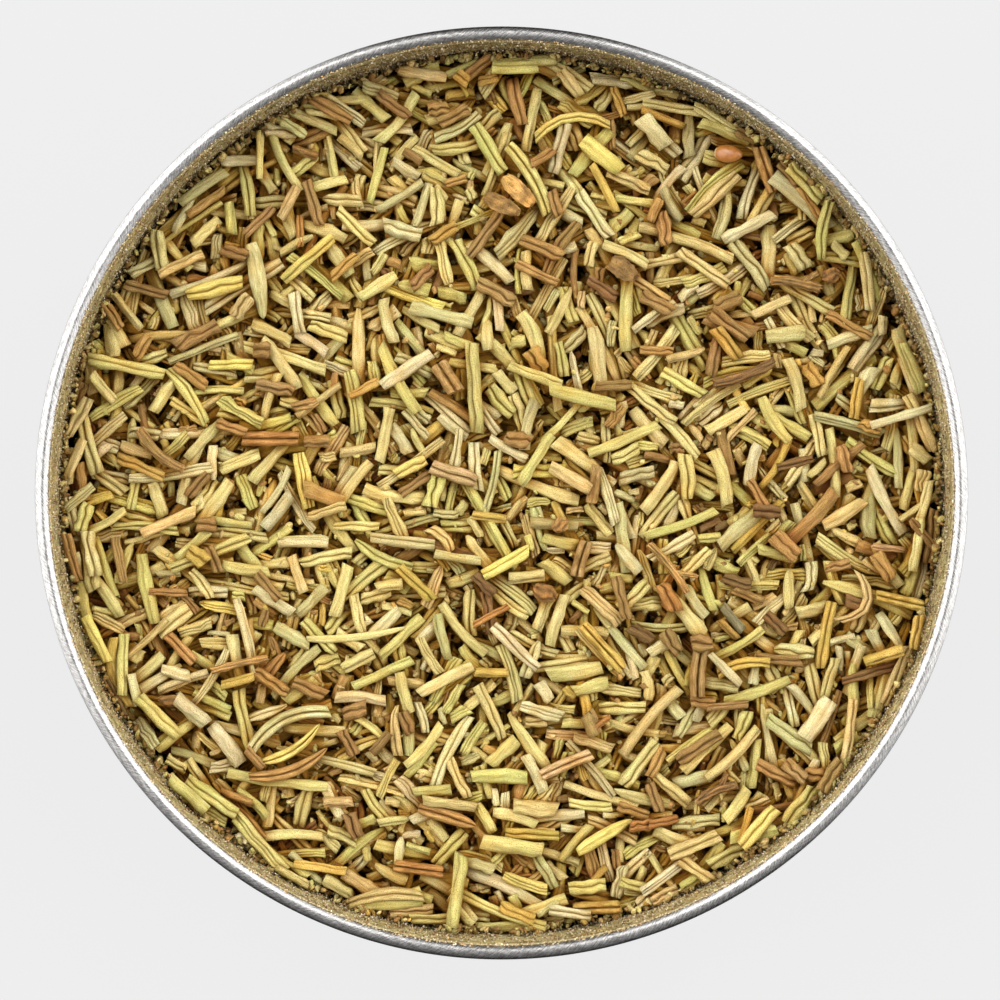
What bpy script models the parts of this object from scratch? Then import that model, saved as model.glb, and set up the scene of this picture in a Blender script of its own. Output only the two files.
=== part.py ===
"""Open round metal tin, filled nearly to its rim with dried cut rosemary.

Metres, +Z up. The origin is on the surface that the tin stands on, at the middle of its foot. The tin is
one pressed sheet with a rolled rim. The herb is thousands of cut leaves that lie on each other: a rule
drops them one by one on a height map, and the leaves that show most stand out of the bed at their true
size. Nutlets, twigs, buds and the leaves that stand out by colour or shape are solids of their own.
"""

import math
from typing import NamedTuple

import bmesh
import bpy
import numpy as np
from mathutils import Matrix

MM = 0.001

# Tin
RIM_DIAMETER = 90.5 * MM
TIN_HEIGHT = 30.0 * MM
SHEET = 0.3 * MM
CURL_RADIUS = 0.6 * MM            # of the middle of the sheet in the rolled rim
CURL_TURN = math.radians(270.0)
CURL_STEPS = 9
CORNER_RADIUS = 2.85 * MM         # of the middle of the sheet where the wall meets the base
CORNER_STEPS = 3
PANEL_RADIUS = 34.0 * MM
PANEL_RAISE = 0.6 * MM
PANEL_STEP = 1.0 * MM
TURN_STEPS = 64

CURL_CENTRE = RIM_DIAMETER / 2 - CURL_RADIUS - SHEET / 2
CURL_LEVEL = TIN_HEIGHT - CURL_RADIUS - SHEET / 2
WALL_RADIUS = CURL_CENTRE - CURL_RADIUS
INNER_RADIUS = WALL_RADIUS - SHEET / 2

# Leaf bed
GAP = 0.3 * MM                    # between solids that touch
BED_RADIUS = INNER_RADIUS - GAP
BED_BOTTOM = SHEET + PANEL_RAISE + GAP
BED_CHAMFER = (1.45 * MM, 2.0 * MM)
BED_TOP = 21.3 * MM               # of the core, which the leaves stand out of
LEAF_REACH = BED_RADIUS - 0.25 * MM
ROOT_DEPTH = 0.5 * MM
STAND_PROUD = 0.3 * MM            # least height of a modelled leaf over the core
SHOWN_LEAVES = 340

# Cut leaves
LEAF_LENGTH = 4.2 * MM
LEAF_LENGTHS = (1.4 * MM, 10.0 * MM)
LEAF_SPREAD = 0.34
LEAF_WIDTH = 1.15 * MM
LEAF_WIDTH_SPREAD = 0.17 * MM
LEAF_WIDTHS = (0.7 * MM, 1.6 * MM)
LEAF_THICKNESS = (0.5, 0.68)      # as a share of the width
TIP_SHARE = 0.25
BOW_SPREAD = 0.03                 # of a leaf's length
RIDGE_SHARE = 0.7                 # of the width, where the leaf is at its full thickness
TIP_SHARPNESS = 0.4

# Dropping the leaves
SEED = 7
CELL = 0.125 * MM
HALF_MAP = 44.5 * MM
CELLS = int(2 * HALF_MAP / CELL) + 1
PILE_BASE = 17.0 * MM
STEEPEST = 0.5
SLOPE_COST = 1.2 * MM
SINK = 0.05 * MM
OFF_LIMITS = 1.0                  # added to the score of a leaf that would cut into the wall
STATION_GAP = 0.8 * MM
MAIN_LEAVES, FILLING_BITS, LAST_LEAVES = 4400, 600, 300
BIT_LENGTH = (1.0 * MM, 2.6 * MM)
BIT_WIDTH = (0.6 * MM, 1.0 * MM)

# Pieces that stand out, by the pixel of the photograph where the middle of each shows
PHOTO_CENTRE = (501.5, 493.0)
PIXEL_ON_BED = MM / 10.09
LIFT = 0.42 * MM                  # of a piece over the leaves that it lies on
MARGIN = 0.3 * MM
FINE_STATION = 0.15 * MM
FINE_ROWS = 11
PIECE_THICKNESS = {"nutlet": 0.72, "bud": 0.75, "twig": 0.9, "fork": 0.9, "chip": 0.4, "flake": 0.32,
                   "leaf": 0.58, "tip": 0.58}

COLOURS = {
    "tin": (0.62, 0.61, 0.60),
    "leaves": (0.45, 0.42, 0.18),
    "green": (0.40, 0.42, 0.20),
    "gold": (0.62, 0.40, 0.10),
    "brown": (0.25, 0.12, 0.05),
    "twig": (0.20, 0.11, 0.06),
    "seed": (0.50, 0.18, 0.03),
    "pale": (0.75, 0.70, 0.55),
}


class Standout(NamedTuple):
    """A piece that stands out on the bed. Sizes are in millimetres, the heading is anticlockwise from +X."""

    name: str
    pixel: tuple
    length: float
    width: float
    heading: float
    bow: float
    form: str
    colour: str


STANDOUTS = (
    Standout("nutlet_2", (186, 798), 2.7, 1.9, -40, 0.0, "nutlet", "seed"),
    Standout("nutlet_3", (214, 814), 1.6, 1.3, 20, 0.0, "nutlet", "seed"),
    Standout("nutlet_1", (729, 156), 2.9, 1.7, -8, 0.0, "nutlet", "seed"),
    Standout("curved_leaf_1", (288, 724), 8.7, 1.35, 26, 1.35, "leaf", "green"),
    Standout("curved_leaf_2", (295, 744), 6.7, 1.05, 34, -0.7, "tip", "green"),
    Standout("curved_leaf_3", (291, 765), 8.2, 1.2, 20, -0.9, "tip", "brown"),
    Standout("curved_leaf_4", (120, 672), 7.0, 1.2, -76, -1.0, "leaf", "gold"),
    Standout("curved_leaf_5", (530, 180), 7.8, 1.3, -60, 0.5, "leaf", "green"),
    Standout("long_leaf", (259, 282), 7.5, 1.6, -81, 0.1, "tip", "green"),
    Standout("twig_1", (794, 284), 4.8, 1.1, -10, 0.2, "fork", "twig"),
    Standout("twig_2", (162, 452), 5.8, 1.1, -42, -0.5, "twig", "twig"),
    Standout("twig_3", (241, 663), 5.6, 0.8, 13, 0.1, "twig", "twig"),
    Standout("twig_4", (668, 567), 6.0, 0.8, -52, 0.2, "fork", "twig"),
    Standout("twig_5", (716, 790), 4.2, 1.0, 25, 0.3, "fork", "twig"),
    Standout("twig_6", (743, 375), 6.2, 1.1, 20, -0.3, "twig", "twig"),
    Standout("bud_1", (560, 525), 1.7, 1.6, 30, 0.0, "bud", "brown"),
    Standout("bud_2", (830, 276), 1.9, 1.5, 15, 0.0, "bud", "brown"),
    Standout("bud_3", (545, 592), 2.4, 1.9, -30, 0.0, "bud", "brown"),
    Standout("bud_4", (173, 700), 2.8, 1.2, -4, 0.0, "bud", "brown"),
    Standout("brown_leaf_1", (766, 169), 4.6, 1.35, -71, 0.0, "leaf", "brown"),
    Standout("brown_leaf_2", (519, 194), 3.9, 1.9, -45, 0.0, "flake", "brown"),
    Standout("brown_leaf_3", (503, 208), 3.9, 1.7, -29, 0.0, "flake", "brown"),
    Standout("brown_leaf_4", (623, 271), 3.0, 2.1, -40, 0.0, "flake", "brown"),
    Standout("brown_leaf_5", (448, 379), 3.3, 1.7, -57, 0.0, "leaf", "brown"),
    Standout("brown_leaf_6", (272, 439), 5.5, 1.4, 0, 0.0, "leaf", "brown"),
    Standout("brown_leaf_7", (594, 484), 3.7, 1.15, 81, 0.0, "leaf", "brown"),
    Standout("brown_leaf_8", (581, 558), 3.6, 1.35, 74, 0.1, "leaf", "brown"),
    Standout("brown_leaf_9", (699, 665), 6.0, 1.6, 83, 0.3, "leaf", "brown"),
    Standout("brown_leaf_10", (448, 815), 6.0, 1.4, -18, 0.1, "tip", "brown"),
    Standout("brown_leaf_11", (566, 763), 5.4, 1.15, 23, 0.1, "leaf", "brown"),
    Standout("brown_leaf_12", (419, 867), 4.9, 1.2, -8, 0.0, "leaf", "brown"),
    Standout("gold_leaf_1", (602, 646), 6.0, 1.2, -48, 0.0, "leaf", "gold"),
    Standout("gold_leaf_2", (902, 601), 4.8, 1.1, -13, 0.0, "leaf", "gold"),
    Standout("gold_leaf_3", (604, 834), 6.3, 1.3, 30, 0.1, "tip", "gold"),
    Standout("gold_leaf_4", (598, 910), 4.7, 1.3, 4, 0.0, "leaf", "gold"),
    Standout("pale_chip", (241, 842), 1.3, 0.9, -30, 0.0, "chip", "pale"),
)


class Lay(NamedTuple):
    """Where one leaf lies: its middle, the level under it, how it is turned and its size."""

    x: float
    y: float
    z: float
    heading: float
    pitch: float
    roll: float
    length: float
    width: float
    thickness: float
    bow: float
    tip: bool


# Dropping leaves on a height map

def offset_of_bow(along, length, bow):
    """How far a bowed piece's middle line stands off its chord: bow at mid length, nothing at its ends."""
    return bow * (1 - (2 * along / length) ** 2)


def settle(height, places, headings, length, width, bow, station_gap, rows):
    """How a piece would rest at each place: level, pitch, roll, and the furthest it reaches from the axis.

    The piece lies on the highest points under it, one on each side of its middle, as a straight edge would:
    the line through a left and a right point that passes highest over the middle carries it. Across, it
    leans on the higher side.
    """
    count = 2 * max(3, int(length / station_gap)) + 1
    middle = count // 2
    tries = len(headings)
    along = np.stack([np.cos(headings), np.sin(headings)], -1)
    across = np.stack([-along[:, 1], along[:, 0]], -1)
    s = np.linspace(-0.5, 0.5, count) * length
    t = np.linspace(-0.42, 0.42, rows) * width
    side = t[None, :] + offset_of_bow(s, length, bow)[:, None]
    place = (places[:, None, None, :] + s[None, :, None, None] * along[:, None, None, :]
             + side[None, :, :, None] * across[:, None, None, :])
    reach = np.hypot(place[..., 0], place[..., 1]).max((1, 2))
    cell = ((place + HALF_MAP) / CELL + 0.5).astype(int).clip(0, CELLS - 1)
    under = height[cell[..., 0], cell[..., 1]]
    profile = under.max(2)
    left, right = profile[:, :middle, None], profile[:, None, middle + 1:]
    s_left, s_right = s[None, :middle, None], s[None, None, middle + 1:]
    rise = (right - left) / (s_right - s_left)
    over_middle = (left - rise * s_left).reshape(tries, -1)
    carrying = over_middle.argmax(1)
    pitch = rise.reshape(tries, -1)[np.arange(tries), carrying].clip(-STEEPEST, STEEPEST)
    rest = under - pitch[:, None, None] * s[None, :, None]
    sides = rest.max(1)
    saddle = np.where(sides[:, rows // 2] >= 0.5 * (sides[:, 0] + sides[:, -1]), 0.5, 1.0)
    roll = (saddle * (sides[:, -1] - sides[:, 0]) / (t[-1] - t[0])).clip(-0.8 * STEEPEST, 0.8 * STEEPEST)
    return rest, t, pitch, roll, reach


def stamp(height, owner, lay, number):
    """Raises the height map by one piece, crowned across, and marks the cells where it is on top."""
    span = 0.5 * math.hypot(lay.length, lay.width) + abs(lay.bow) + CELL
    x_low = max(0, int((lay.x - span + HALF_MAP) / CELL))
    x_high = min(CELLS, int((lay.x + span + HALF_MAP) / CELL) + 2)
    y_low = max(0, int((lay.y - span + HALF_MAP) / CELL))
    y_high = min(CELLS, int((lay.y + span + HALF_MAP) / CELL) + 2)
    dx = (np.arange(x_low, x_high) * CELL - HALF_MAP - lay.x)[:, None]
    dy = (np.arange(y_low, y_high) * CELL - HALF_MAP - lay.y)[None, :]
    cos, sin = math.cos(lay.heading), math.sin(lay.heading)
    u = dx * cos + dy * sin
    v = dy * cos - dx * sin - offset_of_bow(u, lay.length, lay.bow)
    inside = (np.abs(u) <= lay.length / 2) & (np.abs(v) <= lay.width / 2)
    crown = lay.thickness * (1 - 0.5 * (2 * v / lay.width) ** 2)
    top = lay.z + lay.pitch * u + lay.roll * v + crown
    here = height[x_low:x_high, y_low:y_high]
    raised = inside & (top > here)
    here[raised] = top[raised]
    owner[x_low:x_high, y_low:y_high][raised] = number


def drop(rng, height, owner, lays, count, tries, draw_size):
    """Drops pieces one by one, each at the lowest and flattest of a few random places."""
    for _ in range(count):
        length, width = draw_size(rng)
        thickness = width * rng.uniform(*LEAF_THICKNESS)
        bow = rng.normal(0, BOW_SPREAD) * length
        tip = bool(rng.random() < TIP_SHARE)
        distance = (INNER_RADIUS - 0.4 * MM) * np.sqrt(rng.random(tries))
        bearing = rng.random(tries) * 2 * np.pi
        headings = rng.random(tries) * np.pi
        places = np.stack([distance * np.cos(bearing), distance * np.sin(bearing)], -1)
        rest, t, pitch, roll, reach = settle(height, places, headings, length, width, bow, STATION_GAP, 3)
        level = (rest - roll[:, None, None] * t[None, None, :]).max((1, 2))
        score = level + SLOPE_COST * np.abs(pitch) + OFF_LIMITS * (reach > LEAF_REACH)
        best = score.argmin()
        if reach[best] > LEAF_REACH:
            continue
        lay = Lay(places[best, 0], places[best, 1], level[best] - SINK, headings[best], pitch[best],
                  roll[best], length, width, thickness, bow, tip)
        stamp(height, owner, lay, len(lays))
        lays.append(lay)


def draw_leaf(rng):
    """The length and width of a cut leaf."""
    length = np.clip(rng.lognormal(math.log(LEAF_LENGTH), LEAF_SPREAD), *LEAF_LENGTHS)
    width = np.clip(rng.normal(LEAF_WIDTH, LEAF_WIDTH_SPREAD), *LEAF_WIDTHS)
    return length, width


def draw_bit(rng):
    """The length and width of a small bit, which fills a gap."""
    return rng.uniform(*BIT_LENGTH), rng.uniform(*BIT_WIDTH)


def fill_tin():
    """Drops every leaf, and returns the height map, the leaf on top in each cell and the leaves."""
    rng = np.random.default_rng(SEED)
    height = np.full((CELLS, CELLS), PILE_BASE)
    owner = np.full((CELLS, CELLS), -1)
    lays = []
    drop(rng, height, owner, lays, MAIN_LEAVES, 20, draw_leaf)
    drop(rng, height, owner, lays, FILLING_BITS, 40, draw_bit)
    drop(rng, height, owner, lays, LAST_LEAVES, 20, draw_leaf)
    return height, owner, lays


def lay_standout(height, owner, piece, number):
    """Lays a piece that stands out flat on the bed at its pixel's place, clear of the leaves under it."""
    x = (piece.pixel[0] - PHOTO_CENTRE[0]) * PIXEL_ON_BED
    y = (PHOTO_CENTRE[1] - piece.pixel[1]) * PIXEL_ON_BED
    length, width, bow = piece.length * MM, piece.width * MM, piece.bow * MM
    thickness = width * PIECE_THICKNESS[piece.form]
    turn = math.radians(piece.heading)
    middle = 0.5 * bow
    x += math.sin(turn) * middle
    y -= math.cos(turn) * middle
    headings = np.array([turn])
    grown = (length + 2 * MARGIN, (width + 2 * MARGIN) / 0.84, bow, FINE_STATION, FINE_ROWS)
    reach = settle(height, np.array([[x, y]]), headings, *grown)[-1][0]
    inwards = max(0.0, reach - BED_RADIUS) / math.hypot(x, y)
    x, y = x * (1 - inwards), y * (1 - inwards)
    rest, _, pitch, _, _ = settle(height, np.array([[x, y]]), headings, *grown)
    lay = Lay(x, y, rest.max() + LIFT, turn, pitch[0], 0.0, length, width, thickness, bow,
              piece.form == "tip")
    stamp(height, owner, lay, number)
    return lay


# Materials and objects

def material(name, metallic=0.0, roughness=0.7):
    """A plain material of one of the colours."""
    made = bpy.data.materials.get(name)
    if made is None:
        made = bpy.data.materials.new(name)
        made.use_nodes = True
        shader = made.node_tree.nodes["Principled BSDF"]
        shader.inputs["Base Color"].default_value = (*COLOURS[name], 1.0)
        shader.inputs["Metallic"].default_value = metallic
        shader.inputs["Roughness"].default_value = roughness
        made.diffuse_color = (*COLOURS[name], 1.0)
    return made


def add_object(name, mesh, finish, collection):
    """Puts a mesh in the scene as a named object with its finish."""
    mesh.materials.clear()
    if finish is not None:
        mesh.materials.append(finish)
    made = bpy.data.objects.new(name, mesh)
    collection.objects.link(made)
    return made


def evaluated_mesh(obj):
    """An object's mesh as its modifiers and its curve settings make it."""
    bpy.context.view_layer.update()
    return bpy.data.meshes.new_from_object(obj.evaluated_get(bpy.context.evaluated_depsgraph_get()))


# Tin

def arc(centre, radius, start, turn, steps):
    """Points on a round stretch of a profile, from its start angle on."""
    angles = [start + turn * i / steps for i in range(steps + 1)]
    return [(centre[0] + radius * math.cos(a), centre[1] + radius * math.sin(a)) for a in angles]


def tin_profile():
    """The middle of the sheet, from the free edge of the rolled rim down the wall to the base's middle."""
    foot = SHEET / 2
    curl = arc((CURL_CENTRE, CURL_LEVEL), CURL_RADIUS, math.pi - CURL_TURN, CURL_TURN, CURL_STEPS)
    corner_centre = (WALL_RADIUS - CORNER_RADIUS, foot + CORNER_RADIUS)
    corner = arc(corner_centre, CORNER_RADIUS, 0.0, -math.pi / 2, CORNER_STEPS)
    panel = [(PANEL_RADIUS + PANEL_STEP, foot), (PANEL_RADIUS, foot + PANEL_RAISE), (0.0, foot + PANEL_RAISE)]
    return curl + corner + panel


def build_tin(collection):
    """One pressed sheet: the turned middle of the sheet, thickened."""
    points = tin_profile()
    mesh = bpy.data.meshes.new("tin_body")
    mesh.from_pydata([(r, 0.0, z) for r, z in points], [(i, i + 1) for i in range(len(points) - 1)], [])
    tin = add_object("tin_body", mesh, material("tin", metallic=1.0, roughness=0.35), collection)
    turn = tin.modifiers.new("Turn", "SCREW")
    turn.steps = TURN_STEPS
    turn.render_steps = TURN_STEPS
    turn.use_merge_vertices = True
    turn.merge_threshold = 0.00005
    sheet = tin.modifiers.new("Sheet", "SOLIDIFY")
    sheet.thickness = SHEET
    sheet.offset = 0.0
    return tin


# Leaf bed

def build_core(collection):
    """The packed mass under the leaves that show: a plug that clears the tin's corner and wall."""
    chamfer_run, chamfer_rise = BED_CHAMFER
    shape = bmesh.new()
    bmesh.ops.create_cone(shape, cap_ends=True, segments=TURN_STEPS, radius1=BED_RADIUS - chamfer_run,
                          radius2=BED_RADIUS, depth=chamfer_rise,
                          matrix=Matrix.Translation((0, 0, BED_BOTTOM + chamfer_rise / 2)))
    cap = max(shape.faces, key=lambda face: face.calc_center_median().z)
    raised = bmesh.ops.extrude_discrete_faces(shape, faces=[cap])["faces"][0]
    bmesh.ops.translate(shape, vec=(0, 0, BED_TOP - BED_BOTTOM - chamfer_rise), verts=raised.verts)
    mesh = bpy.data.meshes.new("leaf_bed")
    shape.to_mesh(mesh)
    shape.free()
    return add_object("leaf_bed", mesh, material("leaves"), collection)


def leaf_bar(lay):
    """One leaf as a bar: its ridge follows the leaf's top, and its root is flat, inside the core."""
    shape = bmesh.new()
    bmesh.ops.create_cube(shape, size=1.0)
    root = BED_TOP - ROOT_DEPTH
    middle = 2.0 / 3.0 * lay.bow
    cos, sin = math.cos(lay.heading), math.sin(lay.heading)
    for vert in shape.verts:
        is_top = vert.co.z > 0
        u = vert.co.x * lay.length
        v = vert.co.y * lay.width * (RIDGE_SHARE if is_top else 1.0)
        if lay.tip and u > 0:
            v *= TIP_SHARPNESS
        top = lay.z + lay.thickness + lay.pitch * u + lay.roll * v
        v += middle
        vert.co = (lay.x + u * cos - v * sin, lay.y + u * sin + v * cos, top if is_top else root)
    mesh = bpy.data.meshes.new("leaf")
    shape.to_mesh(mesh)
    shape.free()
    return mesh


def stands_out(lay):
    """Whether both ends of a leaf are well over the core."""
    lowest = lay.z + lay.thickness - abs(lay.pitch) * lay.length / 2 - abs(lay.roll) * lay.width / 2
    return lowest > BED_TOP + STAND_PROUD


def build_leaf_bed(collection, owner, lays):
    """The core with the leaves that show most, joined as one body."""
    core = build_core(collection)
    shown = np.bincount(owner[owner >= 0], minlength=len(lays))
    order = [int(i) for i in np.argsort(-shown, kind="stable") if stands_out(lays[i])]
    loose = bpy.data.collections.new("leaves_to_join")
    bpy.context.scene.collection.children.link(loose)
    for number in order[:SHOWN_LEAVES]:
        bar = add_object("leaf", leaf_bar(lays[number]), material("leaves"), loose)
        bar.hide_render = True
        bar.display_type = "WIRE"
    join = core.modifiers.new("Leaves", "BOOLEAN")
    join.operation = "UNION"
    join.operand_type = "COLLECTION"
    join.collection = loose
    join.solver = "MANIFOLD"
    joined = evaluated_mesh(core)
    core.modifiers.clear()
    core.data = joined
    joined.name = "leaf_bed"
    for bar in list(loose.objects):
        bpy.data.objects.remove(bar)
    bpy.data.collections.remove(loose)
    return core


# Pieces that stand out

def place_on_bed(lay):
    """The turn and place of a piece on the bed: its own X along it, Z up from the level it lies on."""
    turn = Matrix.Rotation(lay.heading, 4, "Z") @ Matrix.Rotation(-math.atan(lay.pitch), 4, "Y")
    return Matrix.Translation((lay.x, lay.y, lay.z)) @ turn


def tube(name, points, radii, flatten, resolution=1):
    """A closed tube along points, with a radius at each, flattened in Z and lifted onto its underside."""
    curve = bpy.data.curves.new(name, "CURVE")
    curve.dimensions = "3D"
    curve.bevel_depth = 1.0
    curve.bevel_resolution = resolution
    curve.use_fill_caps = True
    spline = curve.splines.new("POLY")
    spline.points.add(len(points) - 1)
    for point, place, radius in zip(spline.points, points, radii):
        point.co = (*place, 1.0)
        point.radius = radius
    holder = bpy.data.objects.new(name, curve)
    bpy.context.scene.collection.objects.link(holder)
    mesh = evaluated_mesh(holder)
    bpy.data.objects.remove(holder)
    shape = bmesh.new()
    shape.from_mesh(mesh)
    bmesh.ops.remove_doubles(shape, verts=shape.verts, dist=0.001 * MM)
    for vert in shape.verts:
        vert.co.z = vert.co.z * flatten
    lowest = min(vert.co.z for vert in shape.verts)
    bmesh.ops.translate(shape, vec=(0, 0, -lowest), verts=shape.verts)
    shape.to_mesh(mesh)
    shape.free()
    return mesh


def leaf_mesh(lay):
    """A cut leaf: a flattened tube along its bow, with blunt ends or one that runs out to a tip."""
    steps = 3 if abs(lay.bow) < 0.25 * MM else 6
    stations = [-0.5 + i / steps for i in range(steps + 1)]
    points = [(s * lay.length, offset_of_bow(s * lay.length, lay.length, lay.bow), 0.0) for s in stations]
    radii = [lay.width / 2 * (0.86 if abs(s) == 0.5 else 1.0) for s in stations]
    if lay.tip:
        radii[-1] *= 0.35
        radii[0] *= 0.6
    return tube("leaf", points, radii, lay.thickness / lay.width, resolution=2)


def twig_mesh(lay):
    """A bit of stem: a tube with swollen knots."""
    steps = 6
    stations = [-0.5 + i / steps for i in range(steps + 1)]
    points = [(s * lay.length, offset_of_bow(s * lay.length, lay.length, lay.bow), 0.0) for s in stations]
    radii = [lay.width / 2 * (1.0 if i % 3 == 1 else 0.78) for i in range(steps + 1)]
    return tube("twig", points, radii, lay.thickness / lay.width, resolution=2)


def nutlet_mesh(lay):
    """A seed: an egg shape, a little flattened."""
    shape = bmesh.new()
    bmesh.ops.create_uvsphere(shape, u_segments=12, v_segments=7, radius=0.5)
    turn = Matrix.Rotation(math.pi / 2, 4, "Y")
    bmesh.ops.transform(shape, matrix=turn, verts=shape.verts)
    for vert in shape.verts:
        narrow = 1.0 - 0.18 * (2 * vert.co.x)
        vert.co = (vert.co.x * lay.length, vert.co.y * lay.width * narrow,
                   (vert.co.z * narrow + 0.5 * 1.18) * lay.thickness / 1.18)
    mesh = bpy.data.meshes.new("nutlet")
    shape.to_mesh(mesh)
    shape.free()
    return mesh


def bud_mesh(lay):
    """A wrinkled bud: a squashed ball with a few lobes."""
    shape = bmesh.new()
    bmesh.ops.create_uvsphere(shape, u_segments=10, v_segments=6, radius=0.5)
    for vert in shape.verts:
        around = math.atan2(vert.co.y, vert.co.x)
        lobes = 0.92 + 0.08 * math.cos(5 * around)
        vert.co = (vert.co.x * lay.length * lobes, vert.co.y * lay.width * lobes,
                   (vert.co.z + 0.5) * lay.thickness)
    mesh = bpy.data.meshes.new("bud")
    shape.to_mesh(mesh)
    shape.free()
    return mesh


def plate_mesh(lay):
    """A chip or a wide flake of leaf: a flat block, narrower at one end and on top."""
    shape = bmesh.new()
    bmesh.ops.create_cube(shape, size=1.0)
    for vert in shape.verts:
        narrow = 0.8 if vert.co.z > 0 else 1.0
        taper = 0.85 if vert.co.x > 0 else 1.0
        vert.co = (vert.co.x * lay.length * (0.5 + 0.5 * narrow), vert.co.y * lay.width * narrow * taper,
                   (vert.co.z + 0.5) * lay.thickness)
    bmesh.ops.bevel(shape, geom=shape.edges[:], offset=0.12 * lay.thickness, segments=1, affect="EDGES")
    mesh = bpy.data.meshes.new("plate")
    shape.to_mesh(mesh)
    shape.free()
    return mesh


def join_branch(piece, lay, collection):
    """Adds a side shoot to a forked twig, joined as one body."""
    length, width = 0.4 * lay.length, 0.7 * lay.width
    start = (0.1 * lay.length, offset_of_bow(0.1 * lay.length, lay.length, lay.bow), 0.0)
    end = (start[0] + 0.75 * length, start[1] + 0.65 * length, 0.0)
    radii = [width / 2, 0.8 * width / 2]
    shoot = tube("shoot", [start, end], radii, 0.9, resolution=2)
    lift = (lay.thickness * 0.78 - 0.9 * width) / 2
    shoot.transform(Matrix.Translation((0, 0, max(lift, 0.05 * MM))))
    branch = add_object("shoot", shoot, None, collection)
    branch.matrix_world = piece.matrix_world
    join = piece.modifiers.new("Shoot", "BOOLEAN")
    join.operation = "UNION"
    join.object = branch
    joined = evaluated_mesh(piece)
    piece.modifiers.clear()
    piece.data = joined
    bpy.data.objects.remove(branch)


MESHES = {"nutlet": nutlet_mesh, "bud": bud_mesh, "twig": twig_mesh, "fork": twig_mesh,
          "chip": plate_mesh, "flake": plate_mesh, "leaf": leaf_mesh, "tip": leaf_mesh}


def build_standout(piece, lay, collection):
    """One piece that stands out, lying on the bed."""
    mesh = MESHES[piece.form](lay)
    mesh.name = piece.name
    made = add_object(piece.name, mesh, material(piece.colour), collection)
    made.matrix_world = place_on_bed(lay)
    bpy.context.view_layer.update()
    if piece.form == "fork":
        join_branch(made, lay, collection)
    made.data.shade_smooth()
    made.data.set_sharp_from_angle(angle=math.radians(50))
    return made


def main():
    """Builds the filled tin."""
    for old in list(bpy.data.objects):
        bpy.data.objects.remove(old)
    collection = bpy.data.collections.new("rosemary_tin")
    bpy.context.scene.collection.children.link(collection)
    tin = build_tin(collection)
    tin.data.shade_smooth()
    height, owner, lays = fill_tin()
    build_leaf_bed(collection, owner, lays)
    for number, piece in enumerate(STANDOUTS, start=len(lays)):
        lay = lay_standout(height, owner, piece, number)
        build_standout(piece, lay, collection)


main()
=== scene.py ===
"""Looks of an open round tin of brushed steel, filled nearly to its rim with dried cut rosemary.

The leaves are laid by the same rule, with the same draws, as the solid leaf bed, so that the leaves that
show lie where the solid has them. The pieces that stand out come next, each in the place of its solid, then
leaves whose colour or turn shows in the photograph, and last the crumbs and the dust.
"""

import sys

import logging
import math
from dataclasses import dataclass, field
from enum import Enum
from typing import Callable, NamedTuple

import bpy
import numpy as np
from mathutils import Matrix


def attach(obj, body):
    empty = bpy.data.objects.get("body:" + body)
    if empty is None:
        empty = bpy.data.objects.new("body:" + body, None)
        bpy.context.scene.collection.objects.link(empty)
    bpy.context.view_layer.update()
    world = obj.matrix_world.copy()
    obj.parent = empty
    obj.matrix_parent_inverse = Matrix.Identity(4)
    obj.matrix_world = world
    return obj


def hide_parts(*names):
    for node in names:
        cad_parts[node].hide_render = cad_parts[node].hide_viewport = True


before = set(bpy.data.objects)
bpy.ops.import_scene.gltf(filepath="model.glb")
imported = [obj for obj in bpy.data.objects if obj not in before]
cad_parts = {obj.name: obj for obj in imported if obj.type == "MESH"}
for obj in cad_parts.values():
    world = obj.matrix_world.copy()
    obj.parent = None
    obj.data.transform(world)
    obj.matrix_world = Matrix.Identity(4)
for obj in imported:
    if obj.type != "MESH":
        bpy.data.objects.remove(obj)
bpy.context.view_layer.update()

# Types
Socket = bpy.types.NodeSocket
Material = bpy.types.Material
Piece = bpy.types.Object
Array = np.ndarray
Draws = np.random.Generator
Pair = tuple[float, float]
Triple = tuple[float, float, float]

LOG = logging.getLogger("rosemary_tin")
MM = 0.001
BODY = "root"
ROW_REACH = 0.42                  # how far across a piece the outer rows of points are, in widths
GRAIN_UV = "grain"
GRAIN_FIELD = 400.0               # how wide the field is that each piece's grain starts in, in millimetres
PAINT = "paint"


def linear(colour: Triple) -> Array:
    """Turns a colour as a screen shows it, from 0 to 255, into linear light from 0 to 1."""
    value = np.asarray(colour, float) / 255.0
    return np.where(value <= 0.04045, value / 12.92, ((value + 0.055) / 1.055) ** 2.4)


class Tone(Enum):
    """The colours of the herb's pieces, as they look in full light on a screen."""

    PALE = (213, 197, 148)
    OLIVE = (211, 192, 127)
    GREEN = (202, 187, 114)
    GREY_GREEN = (196, 182, 126)
    YELLOW = (220, 198, 112)
    GOLD = (200, 166, 86)
    AMBER = (184, 146, 76)
    ORANGE = (168, 118, 62)
    TAN = (205, 176, 115)
    ROSE = (196, 160, 110)
    RUSSET = (176, 134, 76)
    UMBER = (154, 119, 68)
    MAUVE = (164, 130, 78)
    DARK = (130, 97, 56)
    SLATE = (136, 130, 92)
    WOOD = (240, 224, 180)

    @property
    def albedo(self) -> Array:
        """The share of light that the piece gives back."""
        return linear(self.value)


def leaf_section(*left: tuple) -> tuple:
    """A leaf's cross-section: the left half of its upper side, the same mirrored, and its flat underside,
    each point with its painted shade.
    """
    return (*left, *((-across, up, bright) for across, up, bright in left[::-1]), (.7, 0, .7), (-.7, 0, .7))


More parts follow.
